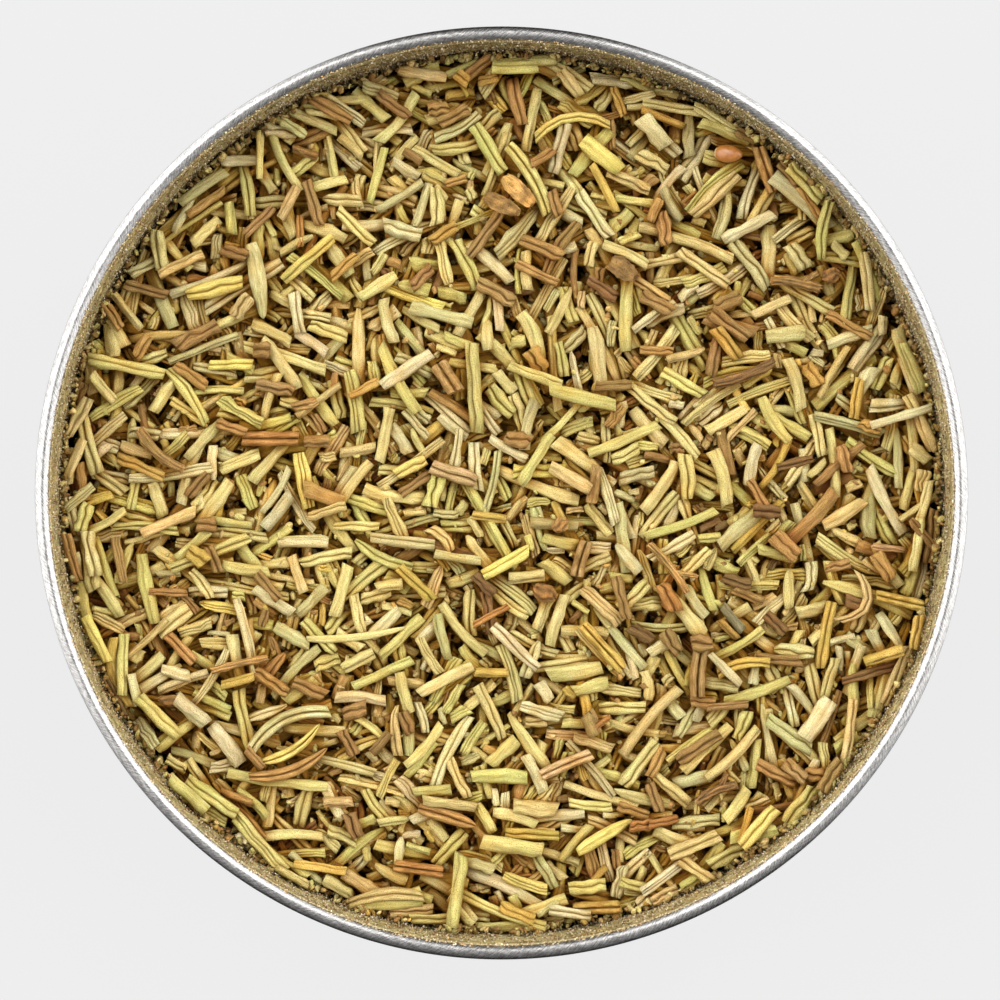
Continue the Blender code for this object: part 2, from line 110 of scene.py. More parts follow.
class Side(Enum):
    """Which side of a leaf looks up, by its cross-section.

    Each point is (across, up, brightness), in half widths, thicknesses and shares; the brightness is painted
    shade and light, darkest in the grooves and at the edges and lightest on the rolled tops. Seen from below
    the edges are rolled in, with a groove between them or a groove on each side of a rib. From above it is a
    low ridge.
    """

    UNDER = leaf_section(
        (-1, .32, .8), (-.94, .62, .95), (-.76, .9, 1), (-.48, 1, 1.05), (-.2, .9, .97), (-.06, .64, .5))
    RIBBED = leaf_section(
        (-1, .32, .8), (-.93, .64, .95), (-.7, .95, 1.03), (-.42, .9, .97), (-.25, .62, .55),
        (-.1, .84, 1.05))
    UPPER = leaf_section(
        (-1, .3, .8), (-.93, .55, .95), (-.78, .78, 1), (-.55, .93, 1.03), (-.28, .99, 1), (-.08, .97, .9))


class Seed(Enum):
    """Where the random draws of each part start. The solid leaf bed's own seed is the pile's."""

    DUST = 21
    STANDOUTS = 22
    SHOWN = 23
    LEAVES = 24
    CORE = 25
    GRAINS = 26

    def draws(self) -> Draws:
        """A new generator of random numbers."""
        return np.random.default_rng(self.value)


class Form(Enum):
    """What a piece that stands out is, with its thickness as a share of its width."""

    NUTLET = ("nutlet", 0.72)
    BUD = ("bud", 0.75)
    TWIG = ("twig", 0.9)
    FORK = ("fork", 0.9)
    CHIP = ("chip", 0.4)
    FLAKE = ("flake", 0.32)
    LEAF = ("leaf", 0.58)
    TIP = ("tip", 0.58)

    @property
    def thickness(self) -> float:
        """The thickness as a share of the width."""
        return self.value[1]


class Lay(NamedTuple):
    """Where one leaf lies: its middle, the level under it, how it is turned and its size."""

    x: float
    y: float
    z: float
    heading: float
    pitch: float
    roll: float
    length: float
    width: float
    thickness: float
    bow: float
    tip: bool


class Standout(NamedTuple):
    """A piece that stands out on the bed. Sizes are in millimetres, the heading is anticlockwise from +X."""

    name: str
    pixel: tuple
    length: float
    width: float
    heading: float
    bow: float
    form: Form
    tone: Tone
    side: Side = Side.UNDER


STANDOUTS = (
    Standout("nutlet_2", (186, 798), 2.7, 1.9, -40, 0.0, Form.NUTLET, Tone.AMBER),
    Standout("nutlet_3", (214, 814), 1.6, 1.3, 20, 0.0, Form.NUTLET, Tone.ORANGE),
    Standout("nutlet_1", (729, 156), 2.9, 1.7, -8, 0.0, Form.NUTLET, Tone.ORANGE),
    Standout("curved_leaf_1", (288, 724), 8.7, 1.35, 26, 1.35, Form.LEAF, Tone.GREY_GREEN),
    Standout("curved_leaf_2", (295, 744), 6.7, 1.05, 34, -0.7, Form.TIP, Tone.YELLOW),
    Standout("curved_leaf_3", (291, 765), 8.2, 1.2, 20, -0.9, Form.TIP, Tone.RUSSET),
    Standout("curved_leaf_4", (120, 672), 7.0, 1.2, -76, -1.0, Form.LEAF, Tone.GOLD, Side.UPPER),
    Standout("curved_leaf_5", (530, 180), 7.8, 1.3, -60, 0.5, Form.LEAF, Tone.GREEN),
    Standout("long_leaf", (259, 282), 7.5, 1.6, -81, 0.1, Form.TIP, Tone.GREY_GREEN, Side.UPPER),
    Standout("twig_1", (794, 284), 4.8, 1.1, -10, 0.2, Form.FORK, Tone.UMBER),
    Standout("twig_2", (162, 452), 5.8, 1.1, -42, -0.5, Form.TWIG, Tone.UMBER),
    Standout("twig_3", (241, 663), 5.6, 0.8, 13, 0.1, Form.TWIG, Tone.RUSSET),
    Standout("twig_4", (668, 567), 6.0, 0.8, -52, 0.2, Form.FORK, Tone.RUSSET),
    Standout("twig_5", (716, 790), 4.2, 1.0, 25, 0.3, Form.FORK, Tone.DARK),
    Standout("twig_6", (743, 375), 6.2, 1.1, 20, -0.3, Form.TWIG, Tone.DARK),
    Standout("bud_1", (560, 525), 1.7, 1.6, 30, 0.0, Form.BUD, Tone.UMBER),
    Standout("bud_2", (830, 276), 1.9, 1.5, 15, 0.0, Form.BUD, Tone.DARK),
    Standout("bud_3", (545, 592), 2.4, 1.9, -30, 0.0, Form.BUD, Tone.DARK),
    Standout("bud_4", (173, 700), 2.8, 1.2, -4, 0.0, Form.BUD, Tone.DARK),
    Standout("brown_leaf_1", (766, 169), 4.6, 1.35, -71, 0.0, Form.LEAF, Tone.RUSSET),
    Standout("brown_leaf_2", (519, 194), 3.9, 1.9, -45, 0.0, Form.FLAKE, Tone.RUSSET),
    Standout("brown_leaf_3", (503, 208), 3.9, 1.7, -29, 0.0, Form.FLAKE, Tone.UMBER),
    Standout("brown_leaf_4", (623, 271), 3.0, 2.1, -40, 0.0, Form.FLAKE, Tone.DARK),
    Standout("brown_leaf_5", (448, 379), 3.3, 1.7, -57, 0.0, Form.LEAF, Tone.MAUVE),
    Standout("brown_leaf_6", (272, 439), 5.5, 1.4, 0, 0.0, Form.LEAF, Tone.ORANGE),
    Standout("brown_leaf_7", (594, 484), 3.7, 1.15, 81, 0.0, Form.LEAF, Tone.MAUVE, Side.UPPER),
    Standout("brown_leaf_8", (581, 558), 3.6, 1.35, 74, 0.1, Form.LEAF, Tone.MAUVE),
    Standout("brown_leaf_9", (699, 665), 6.0, 1.6, 83, 0.3, Form.LEAF, Tone.MAUVE),
    Standout("brown_leaf_10", (448, 815), 6.0, 1.4, -18, 0.1, Form.TIP, Tone.RUSSET),
    Standout("brown_leaf_11", (566, 763), 5.4, 1.15, 23, 0.1, Form.LEAF, Tone.ROSE),
    Standout("brown_leaf_12", (419, 867), 4.9, 1.2, -8, 0.0, Form.LEAF, Tone.ORANGE),
    Standout("gold_leaf_1", (602, 646), 6.0, 1.2, -48, 0.0, Form.LEAF, Tone.GOLD),
    Standout("gold_leaf_2", (902, 601), 4.8, 1.1, -13, 0.0, Form.LEAF, Tone.GOLD),
    Standout("gold_leaf_3", (604, 834), 6.3, 1.3, 30, 0.1, Form.TIP, Tone.YELLOW, Side.UPPER),
    Standout("gold_leaf_4", (598, 910), 4.7, 1.3, 4, 0.0, Form.LEAF, Tone.AMBER),
    Standout("pale_chip", (241, 842), 1.3, 0.9, -30, 0.0, Form.CHIP, Tone.WOOD),
)

# Leaves that show by their colour: the pixel of the middle, length, width and heading, and the bow if it has
# one. Sizes are in millimetres.
SHOWN = (
    (Tone.RUSSET, Side.UNDER, (
        (333, 113, 4.4, 1.2, -31), (208, 204, 4.5, 1.15, 36), (111, 315, 3.0, 1.0, -56),
        (144, 347, 2.5, 1.2, 60), (477, 64, 3.7, 1.2, 38), (517, 103, 4.7, 1.35, -76),
        (439, 110, 2.1, 1.5, 5), (542, 159, 2.7, 1.1, 35), (808, 205, 3.8, 0.9, -53),
        (664, 229, 3.3, 1.2, -83), (654, 211, 2.4, 1.2, 66), (656, 351, 3.3, 1.0, -3),
        (233, 428, 3.2, 1.0, -17), (169, 592, 3.7, 0.8, -3), (68, 558, 4.8, 1.1, -77),
        (537, 274, 4.6, 1.0, -26), (843, 459, 2.8, 1.3, -72), (757, 494, 3.3, 1.0, -60),
        (784, 545, 3.1, 1.8, -41), (881, 566, 3.0, 1.5, -57), (272, 681, 4.0, 1.3, -33),
        (182, 648, 3.8, 1.1, -45), (702, 702, 2.4, 1.2, -10), (813, 773, 1.8, 1.4, 0),
        (541, 249, 4.4, 1.3, -24), (775, 772, 4.2, 1.2, -27), (656, 762, 3.0, 1.1, 63),
        (192, 376, 3.7, 1.15, -34), (238, 796, 3.3, 1.2, -20), (848, 326, 4.9, 1.0, -30))),
    (Tone.RUSSET, Side.UPPER, ((324, 495, 4.0, 1.6, -20),)),
    (Tone.UMBER, Side.UNDER, (
        (306, 154, 2.6, 1.1, -19), (236, 254, 2.7, 1.15, -18), (148, 291, 4.2, 1.05, -14),
        (263, 351, 1.7, 1.5, 0), (394, 107, 3.8, 1.1, -37), (454, 118, 3.3, 1.3, 31),
        (786, 176, 2.8, 1.0, -49), (751, 131, 2.4, 1.1, -20), (656, 304, 3.4, 1.4, -30),
        (727, 302, 2.7, 1.7, 25), (80, 394, 2.4, 1.1, 66), (199, 485, 3.1, 1.1, 47),
        (215, 559, 2.7, 1.2, -69), (269, 586, 3.4, 1.1, -48), (306, 405, 2.5, 1.1, 15),
        (208, 524, 1.8, 1.4, 0), (422, 278, 2.8, 1.3, 44), (555, 205, 2.6, 1.1, -73),
        (518, 440, 2.5, 1.5, -10), (415, 484, 3.5, 1.0, 35), (613, 386, 3.6, 1.1, 3),
        (621, 597, 4.3, 1.1, -75), (748, 595, 3.2, 1.1, -23), (920, 534, 4.0, 0.8, -48),
        (678, 448, 1.1, 1.1, 0), (700, 642, 2.0, 1.5, 0), (355, 710, 2.5, 1.5, 20),
        (349, 742, 2.8, 1.2, -62), (257, 756, 2.5, 1.2, -51), (381, 742, 2.7, 1.1, 50),
        (633, 810, 3.2, 1.1, -20), (354, 824, 2.6, 1.4, -70), (778, 659, 4.4, 1.2, -5),
        (654, 796, 2.9, 1.1, -70), (671, 641, 2.6, 1.4, -55), (407, 722, 2.4, 1.2, -70),
        (310, 688, 3.4, 1.4, -25), (698, 746, 5.0, 1.4, 33))),
    (Tone.MAUVE, Side.UNDER, (
        (314, 204, 4.5, 1.15, -74), (260, 222, 3.9, 0.95, 45), (198, 336, 4.7, 1.5, 27),
        (496, 293, 4.1, 1.5, -28), (729, 326, 4.5, 1.4, -36), (276, 388, 3.7, 1.2, -12),
        (318, 442, 2.6, 1.4, 0), (591, 722, 2.4, 2.0, -70), (727, 705, 4.1, 0.9, 4),
        (793, 769, 2.5, 1.4, -40), (830, 775, 3.4, 1.5, 56))),
    (Tone.DARK, Side.UNDER, (
        (602, 289, 3.4, 1.2, -32), (484, 584, 2.8, 1.3, -48), (641, 633, 2.6, 1.5, -30),
        (794, 463, 3.6, 0.95, 15), (765, 511, 2.8, 1.2, -5), (736, 581, 2.8, 1.3, -15),
        (856, 604, 2.5, 1.4, -20), (775, 623, 2.7, 1.1, -45), (115, 698, 4.0, 0.8, -63),
        (868, 672, 5.6, 1.0, 18))),
    (Tone.SLATE, Side.UNDER, ((732, 618, 3.2, 1.3, -50),)),
    (Tone.ROSE, Side.UNDER, ((454, 474, 4.7, 1.4, -18), (887, 548, 3.4, 0.8, -6))),
    (Tone.TAN, Side.UNDER, (
        (290, 204, 3.6, 1.4, 62), (183, 265, 4.7, 1.25, 28), (243, 307, 2.6, 1.5, 50),
        (570, 87, 3.1, 1.4, -52), (106, 389, 3.4, 1.3, -52), (80, 417, 4.2, 1.1, 62),
        (328, 511, 4.0, 1.0, 17), (442, 538, 3.2, 1.1, -45, 0.4), (894, 674, 6.2, 1.2, 68),
        (695, 869, 3.5, 1.3, -35), (628, 182, 4.6, 1.3, -24), (295, 873, 3.5, 1.0, -30),
        (339, 800, 2.8, 1.4, 0), (693, 843, 5.3, 1.3, 21), (666, 899, 2.8, 1.2, 28),
        (386, 897, 7.2, 1.1, 5, 0.6), (714, 196, 6.1, 1.3, 42), (856, 600, 5.2, 1.1, 66, -2.0))),
    (Tone.TAN, Side.UPPER, (
        (450, 802, 5.3, 1.1, -9), (535, 807, 4.3, 1.5, -6), (570, 478, 4.6, 1.3, -30),
        (170, 522, 5.8, 1.1, 23))),
    (Tone.AMBER, Side.UNDER, (
        (345, 267, 3.4, 1.0, 42), (463, 81, 1.5, 1.2, -40), (488, 82, 2.0, 1.0, 10),
        (618, 103, 3.0, 0.85, -70), (444, 234, 3.0, 1.2, 33), (726, 344, 3.8, 1.3, -52),
        (142, 467, 5.2, 1.2, -23), (199, 556, 2.2, 1.6, -35), (365, 389, 3.4, 1.0, 29),
        (536, 361, 2.5, 1.8, -60), (812, 375, 2.4, 1.5, -60), (868, 427, 2.2, 1.2, -20),
        (728, 629, 2.6, 0.9, -45), (662, 120, 4.5, 1.0, -20))),
    (Tone.GOLD, Side.UNDER, (
        (416, 583, 4.6, 1.2, -45), (489, 517, 3.4, 1.0, -7), (855, 399, 4.0, 1.1, 81),
        (914, 631, 3.4, 1.1, 75), (239, 680, 3.5, 1.1, 16), (321, 865, 5.2, 1.0, -9),
        (532, 833, 5.3, 1.1, -4), (517, 910, 3.6, 1.1, -22), (492, 672, 3.3, 1.2, -2),
        (742, 665, 5.2, 1.2, 12, 0.5), (879, 654, 3.8, 1.3, 20), (744, 823, 3.6, 0.9, 71))),
    (Tone.ORANGE, Side.UNDER, (
        (301, 232, 3.1, 0.8, -88), (491, 615, 4.0, 0.75, 28), (668, 597, 3.0, 1.6, -62),
        (601, 721, 2.1, 0.8, 36), (640, 824, 2.2, 1.2, 5), (663, 820, 3.0, 1.0, 10))),
    (Tone.YELLOW, Side.UNDER, (
        (216, 289, 5.7, 1.4, 14), (309, 260, 6.5, 1.15, 41), (232, 365, 4.3, 1.1, 1),
        (506, 562, 5.2, 1.4, 29), (411, 467, 3.3, 1.2, 27), (756, 824, 5.0, 1.4, 47),
        (571, 126, 7.5, 1.1, 10, 1.5))),
    (Tone.YELLOW, Side.UPPER, ((601, 157, 4.8, 1.8, -39),)),
    (Tone.GREEN, Side.UNDER, (
        (262, 157, 5.0, 0.95, 91), (524, 58, 6.2, 1.2, 4), (515, 72, 4.5, 1.5, 1), (489, 150, 5.5, 1.5, -59),
        (804, 184, 4.6, 1.4, -48), (823, 231, 5.6, 1.15, 83, 0.4), (129, 367, 7.5, 1.3, -12),
        (535, 376, 5.6, 1.2, -21), (457, 887, 6.9, 1.6, 82), (215, 794, 5.9, 1.35, -35),
        (161, 715, 5.5, 1.5, -46), (802, 806, 4.5, 1.6, 50))),
    (Tone.GREEN, Side.UPPER, (
        (582, 398, 6.8, 1.3, -13), (512, 844, 6.1, 1.7, -9), (192, 791, 4.8, 1.5, -41),
        (536, 459, 5.8, 1.2, 57))),
    (Tone.GREY_GREEN, Side.UNDER, (
        (403, 541, 6.4, 1.2, -7), (458, 557, 4.6, 1.2, -9), (788, 733, 5.3, 1.4, -35))),
    (Tone.PALE, Side.UPPER, (
        (747, 228, 5.6, 1.15, 27), (653, 134, 3.7, 1.8, -48), (407, 370, 5.9, 1.3, 34),
        (898, 417, 6.2, 0.9, 17), (724, 668, 4.4, 0.8, -45), (177, 672, 2.9, 1.2, -15),
        (193, 710, 3.9, 1.8, -43), (816, 718, 4.6, 1.8, 56))),
)

# How often each tone comes in the leaves of the bed, in the small bits that fill gaps, and further down in
# crumbs and in dust grains, and how often a leaf shows each side
LEAF_TONES = {Tone.PALE: 16, Tone.OLIVE: 36, Tone.GREEN: 26, Tone.GREY_GREEN: 10, Tone.YELLOW: 2,
              Tone.GOLD: 1, Tone.TAN: 5, Tone.RUSSET: 1.5, Tone.UMBER: 1.5, Tone.MAUVE: 0.5, Tone.DARK: 0.5}
BIT_TONES = {Tone.PALE: 8, Tone.OLIVE: 18, Tone.GREEN: 16, Tone.GREY_GREEN: 8, Tone.GOLD: 8,
             Tone.TAN: 16, Tone.AMBER: 6, Tone.RUSSET: 9, Tone.UMBER: 7, Tone.MAUVE: 3, Tone.DARK: 1}
SIDES = {Side.UNDER: 36, Side.RIBBED: 20, Side.UPPER: 44}
CRUMB_TONES = {Tone.TAN: 4, Tone.OLIVE: 4, Tone.GREEN: 2, Tone.GOLD: 1, Tone.AMBER: 1, Tone.RUSSET: 2,
               Tone.UMBER: 2.5}
DUST_TONES = {Tone.WOOD: 1, Tone.PALE: 4, Tone.GREY_GREEN: 5, Tone.TAN: 4, Tone.UMBER: 3, Tone.DARK: 2.5}


class Slot(Enum):
    """The record's material slots."""

    TIN = "tin"
    DRIED_LEAF = "dried_leaf"
    BROWN_LEAF = "brown_leaf"
    GOLDEN_LEAF = "golden_leaf"
    TWIG = "twig"
    BUD = "bud"
    SEED = "seed"
    PALE_CHIP = "pale_chip"


# How much faster green and blue fall than red: first where painted shade darkens a leaf's grooves and edges
# and where a cut end's own tone is darker, then where painted shade stands for the little light that gets in
# between the leaves
BROWNING = np.array([1.0, 1.2, 1.7])
GAP_SHADE_BROWNING = np.array([1.0, 1.8, 3.5])
GOLDEN_TONES = (Tone.YELLOW, Tone.GOLD, Tone.AMBER)
BROWN_TONES = (Tone.ORANGE, Tone.ROSE, Tone.RUSSET, Tone.UMBER, Tone.MAUVE, Tone.DARK, Tone.SLATE, Tone.TAN)


def slot_of_leaf(tone: Tone) -> Slot:
    """The slot that a leaf of this tone takes its finish from."""
    if tone in GOLDEN_TONES:
        return Slot.GOLDEN_LEAF
    return Slot.BROWN_LEAF if tone in BROWN_TONES else Slot.DRIED_LEAF


# Meshes as whole arrays

@dataclass
class Shape:
    """A mesh as arrays: points, the point at each face corner, where each face starts, and its looks.

    The grain is a place on the surface in millimetres at each corner, and the paint a linear colour there.
    """

    points: Array
    corners: Array
    starts: Array
    smooth: Array
    grain: Array
    paint: Array

    @staticmethod
    def joined(shapes: list["Shape"]) -> "Shape":
        """Puts several shapes, each with its own points, into one."""
        points = np.cumsum([0] + [len(shape.points) for shape in shapes[:-1]])
        corners = np.cumsum([0] + [len(shape.corners) for shape in shapes[:-1]])
        return Shape(
            np.concatenate([shape.points for shape in shapes]),
            np.concatenate([shape.corners + shift for shape, shift in zip(shapes, points)]),
            np.concatenate([shape.starts + shift for shape, shift in zip(shapes, corners)]),
            np.concatenate([shape.smooth for shape in shapes]),
            np.concatenate([shape.grain for shape in shapes]),
            np.concatenate([shape.paint for shape in shapes]),
        )

    def show(self, name: str, finish: Material, slot: Slot, *nodes: str) -> Piece:
        """Makes the shape a piece of the object.

        Args:
            name: The piece's name.
            finish: Its material.
            slot: The record's slot of its finish; not used.
            nodes: The solid nodes that it stands for.

        Returns:
            The piece, at the origin and unturned.
        """
        mesh = bpy.data.meshes.new(name)
        mesh.vertices.add(len(self.points))
        mesh.vertices.foreach_set("co", self.points.astype(np.float32).ravel())
        mesh.loops.add(len(self.corners))
        mesh.loops.foreach_set("vertex_index", self.corners.astype(np.int32))
        mesh.polygons.add(len(self.starts))
        mesh.polygons.foreach_set("loop_start", self.starts.astype(np.int32))
        mesh.polygons.foreach_set("use_smooth", self.smooth)
        mesh.update(calc_edges=True)
        mesh.uv_layers.new(name=GRAIN_UV).data.foreach_set("uv", self.grain.astype(np.float32).ravel())
        opaque = np.concatenate([self.paint, np.ones((len(self.paint), 1))], 1)
        layer = mesh.color_attributes.new(PAINT, "FLOAT_COLOR", "CORNER")
        layer.data.foreach_set("color", opaque.astype(np.float32).ravel())
        mesh.materials.append(finish)
        piece = bpy.data.objects.new(name, mesh)
        bpy.context.scene.collection.objects.link(piece)
        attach(piece, BODY)
        if nodes:
            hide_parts(*nodes)
        LOG.info("%s: %d points, %d faces", name, len(self.points), len(self.starts))
        return piece


def skin(rings: Array, paint: Array, cap_paint: Array, grain: Array,
         closed: bool = False, smooth_caps: bool = False) -> Shape:
    """Skins pieces that are each a row of rings.

    A face joins point k of ring s with point k of ring s + 1 and their neighbours k + 1. The first and the
    last ring are filled, unless the row closes on itself. The rings turn clockwise, seen from the last one.

    Args:
        rings: The points, as (pieces, rings, points, 3).
        paint: The colour at each point, the same way.
        cap_paint: The colour of the two end faces, as (pieces, 2, 3).
        grain: The grain's place, as (pieces, rings, points + 1, 2), with one more ring if closed.
        closed: Whether the last ring joins the first.
        smooth_caps: Whether the end faces are shaded with the rest.

    Returns:
        One shape with all the pieces.
    """
    pieces, stations, around, _ = rings.shape
    spans = stations if closed else stations - 1
    s, k = np.meshgrid(np.arange(spans), np.arange(around), indexing="ij")
    s_corner = np.stack([s, s + 1, s + 1, s], -1)
    k_corner = np.stack([k, k, k + 1, k + 1], -1)
    s_point, k_point = s_corner % stations, k_corner % around
    first = (np.arange(pieces) * stations * around)[:, None, None, None]
    sides = (first + s_point * around + k_point).reshape(-1)
    side_grain = grain[:, s_corner, k_corner].reshape(-1, 2)
    side_paint = paint[:, s_point, k_point].reshape(-1, 3)
    faces = pieces * spans * around
    starts = np.arange(faces) * 4
    smooth = np.ones(faces, bool)
    if closed:
        return Shape(rings.reshape(-1, 3), sides, starts, smooth, side_grain, side_paint)
    low = np.arange(around)
    high = (stations - 1) * around + low[::-1]
    caps = (first[:, 0, 0] + np.concatenate([low, high])).reshape(-1)
    cap_grain = np.concatenate([grain[:, 0, :-1], grain[:, -1, :-1][:, ::-1]], 1).reshape(-1, 2)
    caps_painted = np.repeat(cap_paint, around, axis=1).reshape(-1, 3)
    return Shape(
        rings.reshape(-1, 3),
        np.concatenate([sides, caps]),
        np.concatenate([starts, faces * 4 + np.arange(2 * pieces) * around]),
        np.concatenate([smooth, np.full(2 * pieces, smooth_caps)]),
        np.concatenate([side_grain, cap_grain]),
        np.concatenate([side_paint, caps_painted]),
    )


def paired(*values: Array) -> Array:
    """Values spread over one grid and put side by side as its last axis."""
    return np.stack(np.broadcast_arrays(*values), -1)


def round_axis(radius: Array, turn: Array, *level: Array) -> Array:
    """Points at these radii, angles and, if given, levels round the tin's axis."""
    return paired(radius * np.cos(turn), radius * np.sin(turn), *level)


def drawn(rng: Draws, shares: dict, count: int) -> Array:
    """Draws places in a table of shares, counted from 0, each as often as its share says."""
    weights = np.array(list(shares.values()), float)
    return rng.choice(len(weights), count, p=weights / weights.sum())


def soft_noise(rng: Draws, shape: tuple[int, int], spread: Pair) -> Array:
    """Noise that runs on past its edges: white noise, each frequency damped as a Gaussian blur would.

    Args:
        rng: Where the noise is drawn from.
        shape: The size of the grid.
        spread: The blur along each side, in cells.

    Returns:
        The noise on the grid, with a mean of 0 and a deviation of 1.
    """
    rows, columns = (np.fft.fftfreq(count)[:, None] for count in shape)
    damp = np.exp(-2 * np.pi ** 2 * ((spread[0] * rows) ** 2 + (spread[1] * columns.T) ** 2))
    made = np.fft.ifft2(np.fft.fft2(rng.standard_normal(shape)) * damp).real
    made -= made.mean()
    return made / made.std()


def bow_offset(along: Array, length: Array, bow: Array) -> Array:
    """How far a bowed piece's middle line stands off its chord: bow at mid length, nothing at its ends."""
    return bow * (1 - (2 * along / length) ** 2)


# Finishes

class Graph:
    """A material's nodes, with short ways to add and join them."""

    def __init__(self, name: str) -> None:
        """Starts a material of this name."""
        self.material = bpy.data.materials.new(name)
        self.material.use_nodes = True
        self.tree = self.material.node_tree
        self.shader = self.tree.nodes["Principled BSDF"]

    def node(self, kind: str, **settings: object) -> bpy.types.Node:
        """Adds a node of this type, with these properties."""
        made = self.tree.nodes.new(kind)
        for name, value in settings.items():
            setattr(made, name, value)
        return made

    def join(self, source: Socket, target: Socket) -> None:
        """Joins an output to an input."""
        self.tree.links.new(source, target)

    def grain(self, scale: Pair, turn: float = 0.0) -> Socket:
        """The grain's place, scaled to so many patches per millimetre.

        Args:
            scale: Patches per millimetre along and across.
            turn: How far the pattern is turned on the surface, in degrees.

        Returns:
            The vector.
        """
        source = self.node("ShaderNodeUVMap", uv_map=GRAIN_UV)
        turned = self.node("ShaderNodeMapping")
        turned.inputs["Rotation"].default_value = (0, 0, math.radians(turn))
        stretched = self.node("ShaderNodeMapping")
        stretched.inputs["Scale"].default_value = (*scale, 1)
        self.join(source.outputs["UV"], turned.inputs["Vector"])
        self.join(turned.outputs["Vector"], stretched.inputs["Vector"])
        return stretched.outputs["Vector"]

    def noise(self, place: Socket, detail: float = 2.0, rough: float = 0.5) -> Socket:
        """Noise from 0 to 1, with so many finer layers, each so strong beside the last."""
        made = self.node("ShaderNodeTexNoise")
        made.inputs["Scale"].default_value = 1.0
        made.inputs["Detail"].default_value = detail
        made.inputs["Roughness"].default_value = rough
        self.join(place, made.inputs["Vector"])
        return made.outputs["Fac"]

    def ramp(self, value: Socket, *stops: tuple[float, tuple]) -> Socket:
        """A value turned into a colour, by stops that each have a position and a linear colour."""
        made = self.node("ShaderNodeValToRGB")
        elements = made.color_ramp.elements
        while len(elements) < len(stops):
            elements.new(0.5)
        for element, (position, colour) in zip(elements, stops):
            element.position = position
            element.color = (*colour, 1.0)
        self.join(value, made.inputs["Fac"])
        return made.outputs["Color"]

    def shades(self, value: Socket, colour: Triple, *stops: Pair) -> Socket:
        """A value turned into shades of one colour, by stops that each have a position and a brightness."""
        return self.ramp(value, *((at, tuple(bright * part for part in colour)) for at, bright in stops))

    def multiply(self, one: Socket, other: Socket) -> Socket:
        """One colour times another."""
        made = self.node("ShaderNodeVectorMath", operation="MULTIPLY")
        self.join(one, made.inputs[0])
        self.join(other, made.inputs[1])
        return made.outputs["Vector"]

    def math(self, operation: str, one: Socket, other: object) -> Socket:
        """A sum, product or other operation on a value and a second one, which may be a number."""
        made = self.node("ShaderNodeMath", operation=operation)
        self.join(one, made.inputs[0])
        if isinstance(other, (int, float)):
            made.inputs[1].default_value = other
        else:
            self.join(other, made.inputs[1])
        return made.outputs["Value"]

    def weigh(self, one: Socket, one_share: float, other: Socket, other_share: float) -> Socket:
        """The sum of two values, each times its share."""
        weighed = self.math("MULTIPLY", other, other_share)
        return self.math("ADD", self.math("MULTIPLY", one, one_share), weighed)

    def blend(self, share: Socket, low: Socket, high: Socket) -> Socket:
        """One colour passing into another, as the share goes from 0 to 1."""
        made = self.node("ShaderNodeMix", data_type="RGBA")
        self.join(share, made.inputs[0])
        self.join(low, made.inputs[6])
        self.join(high, made.inputs[7])
        return made.outputs[2]

    def paint(self) -> Socket:
        """The paint that the mesh holds."""
        return self.node("ShaderNodeVertexColor", layer_name=PAINT).outputs["Color"]

    def relief(self, height: Socket, depth: float) -> None:
        """Gives the surface a fine relief: a height from 0 to 1, times a depth in metres."""
        made = self.node("ShaderNodeBump")
        made.inputs["Distance"].default_value = depth
        self.join(height, made.inputs["Height"])
        self.join(made.outputs["Normal"], self.shader.inputs["Normal"])

    def fix(self, **values: object) -> None:
        """Gives inputs of the shader fixed values, with _ in their names for each space."""
        for name, value in values.items():
            self.shader.inputs[name.replace("_", " ")].default_value = value

    def roughness(self, value: Socket, low: float, high: float) -> None:
        """Spreads a value from 0 to 1 over a range of roughness."""
        made = self.node("ShaderNodeMapRange")
        made.inputs["To Min"].default_value = low
        made.inputs["To Max"].default_value = high
        self.join(value, made.inputs["Value"])
        self.join(made.outputs["Result"], self.shader.inputs["Roughness"])


@dataclass(frozen=True)
class PlantFinish:
    """Dry plant matter: streaks along the piece and fine specks over it, in the paint's colour."""

    name: str
    streaks: Pair = (0.8, 6.0)
    specks: Pair = (8.5, 9.5)
    patches: float = 0.3
    streak_depth: float = 0.25
    speck_depth: float = 0.72
    between: Triple = (0.97, 0.96, 0.94)
    patch_tints: tuple = ((0.34, (0.94, 0.99, 0.9)), (0.48, (1.0, 1.0, 1.0)), (0.68, (1.0, 0.9, 0.74)))
    relief: float = 0.09 * MM
    streak_relief: float = 0.4
    speck_relief: float = 0.7
    rough: Pair = (0.6, 0.9)
    gloss: float = 0.12

    @staticmethod
    def tint(brightness: float) -> Triple:
        """The tint of the dark part of a streak or speck, partly the plant's own marks and partly painted
        shade in the relief's hollows: the darker it is, the browner.
        """
        return brightness, brightness ** 1.15, brightness ** 1.6

    def build(self) -> Material:
        """Makes the material: paint times patches, streaks and specks, the last two also as relief, with
        their dark parts in its hollows as painted shade.
        """
        graph = Graph(self.name)
        streak = graph.noise(graph.grain(self.streaks), detail=3.0, rough=0.6)
        speck = graph.noise(graph.grain(self.specks), detail=3.0, rough=0.65)
        patch = graph.noise(graph.grain((self.patches, self.patches)))
        # Dark streaks and specks sit where the relief is low: the plant's own marks, and painted shade in the
        # hollows
        streaked = graph.ramp(streak, (0.3, self.tint(1 - self.streak_depth)),
                              (0.6, self.tint(1 + 0.3 * self.streak_depth)))
        specked = graph.ramp(speck, (0.34, self.tint(1 - self.speck_depth)), (0.46, self.between),
                             (0.66, self.tint(1 + 0.12 * self.speck_depth)))
        patched = graph.multiply(graph.paint(), graph.ramp(patch, *self.patch_tints))
        colour = graph.multiply(patched, graph.multiply(streaked, specked))
        graph.join(colour, graph.shader.inputs["Base Color"])
        graph.roughness(speck, *self.rough)
        graph.relief(graph.weigh(streak, self.streak_relief, speck, self.speck_relief), self.relief)
        graph.fix(Specular_IOR_Level=self.gloss)
        return graph.material


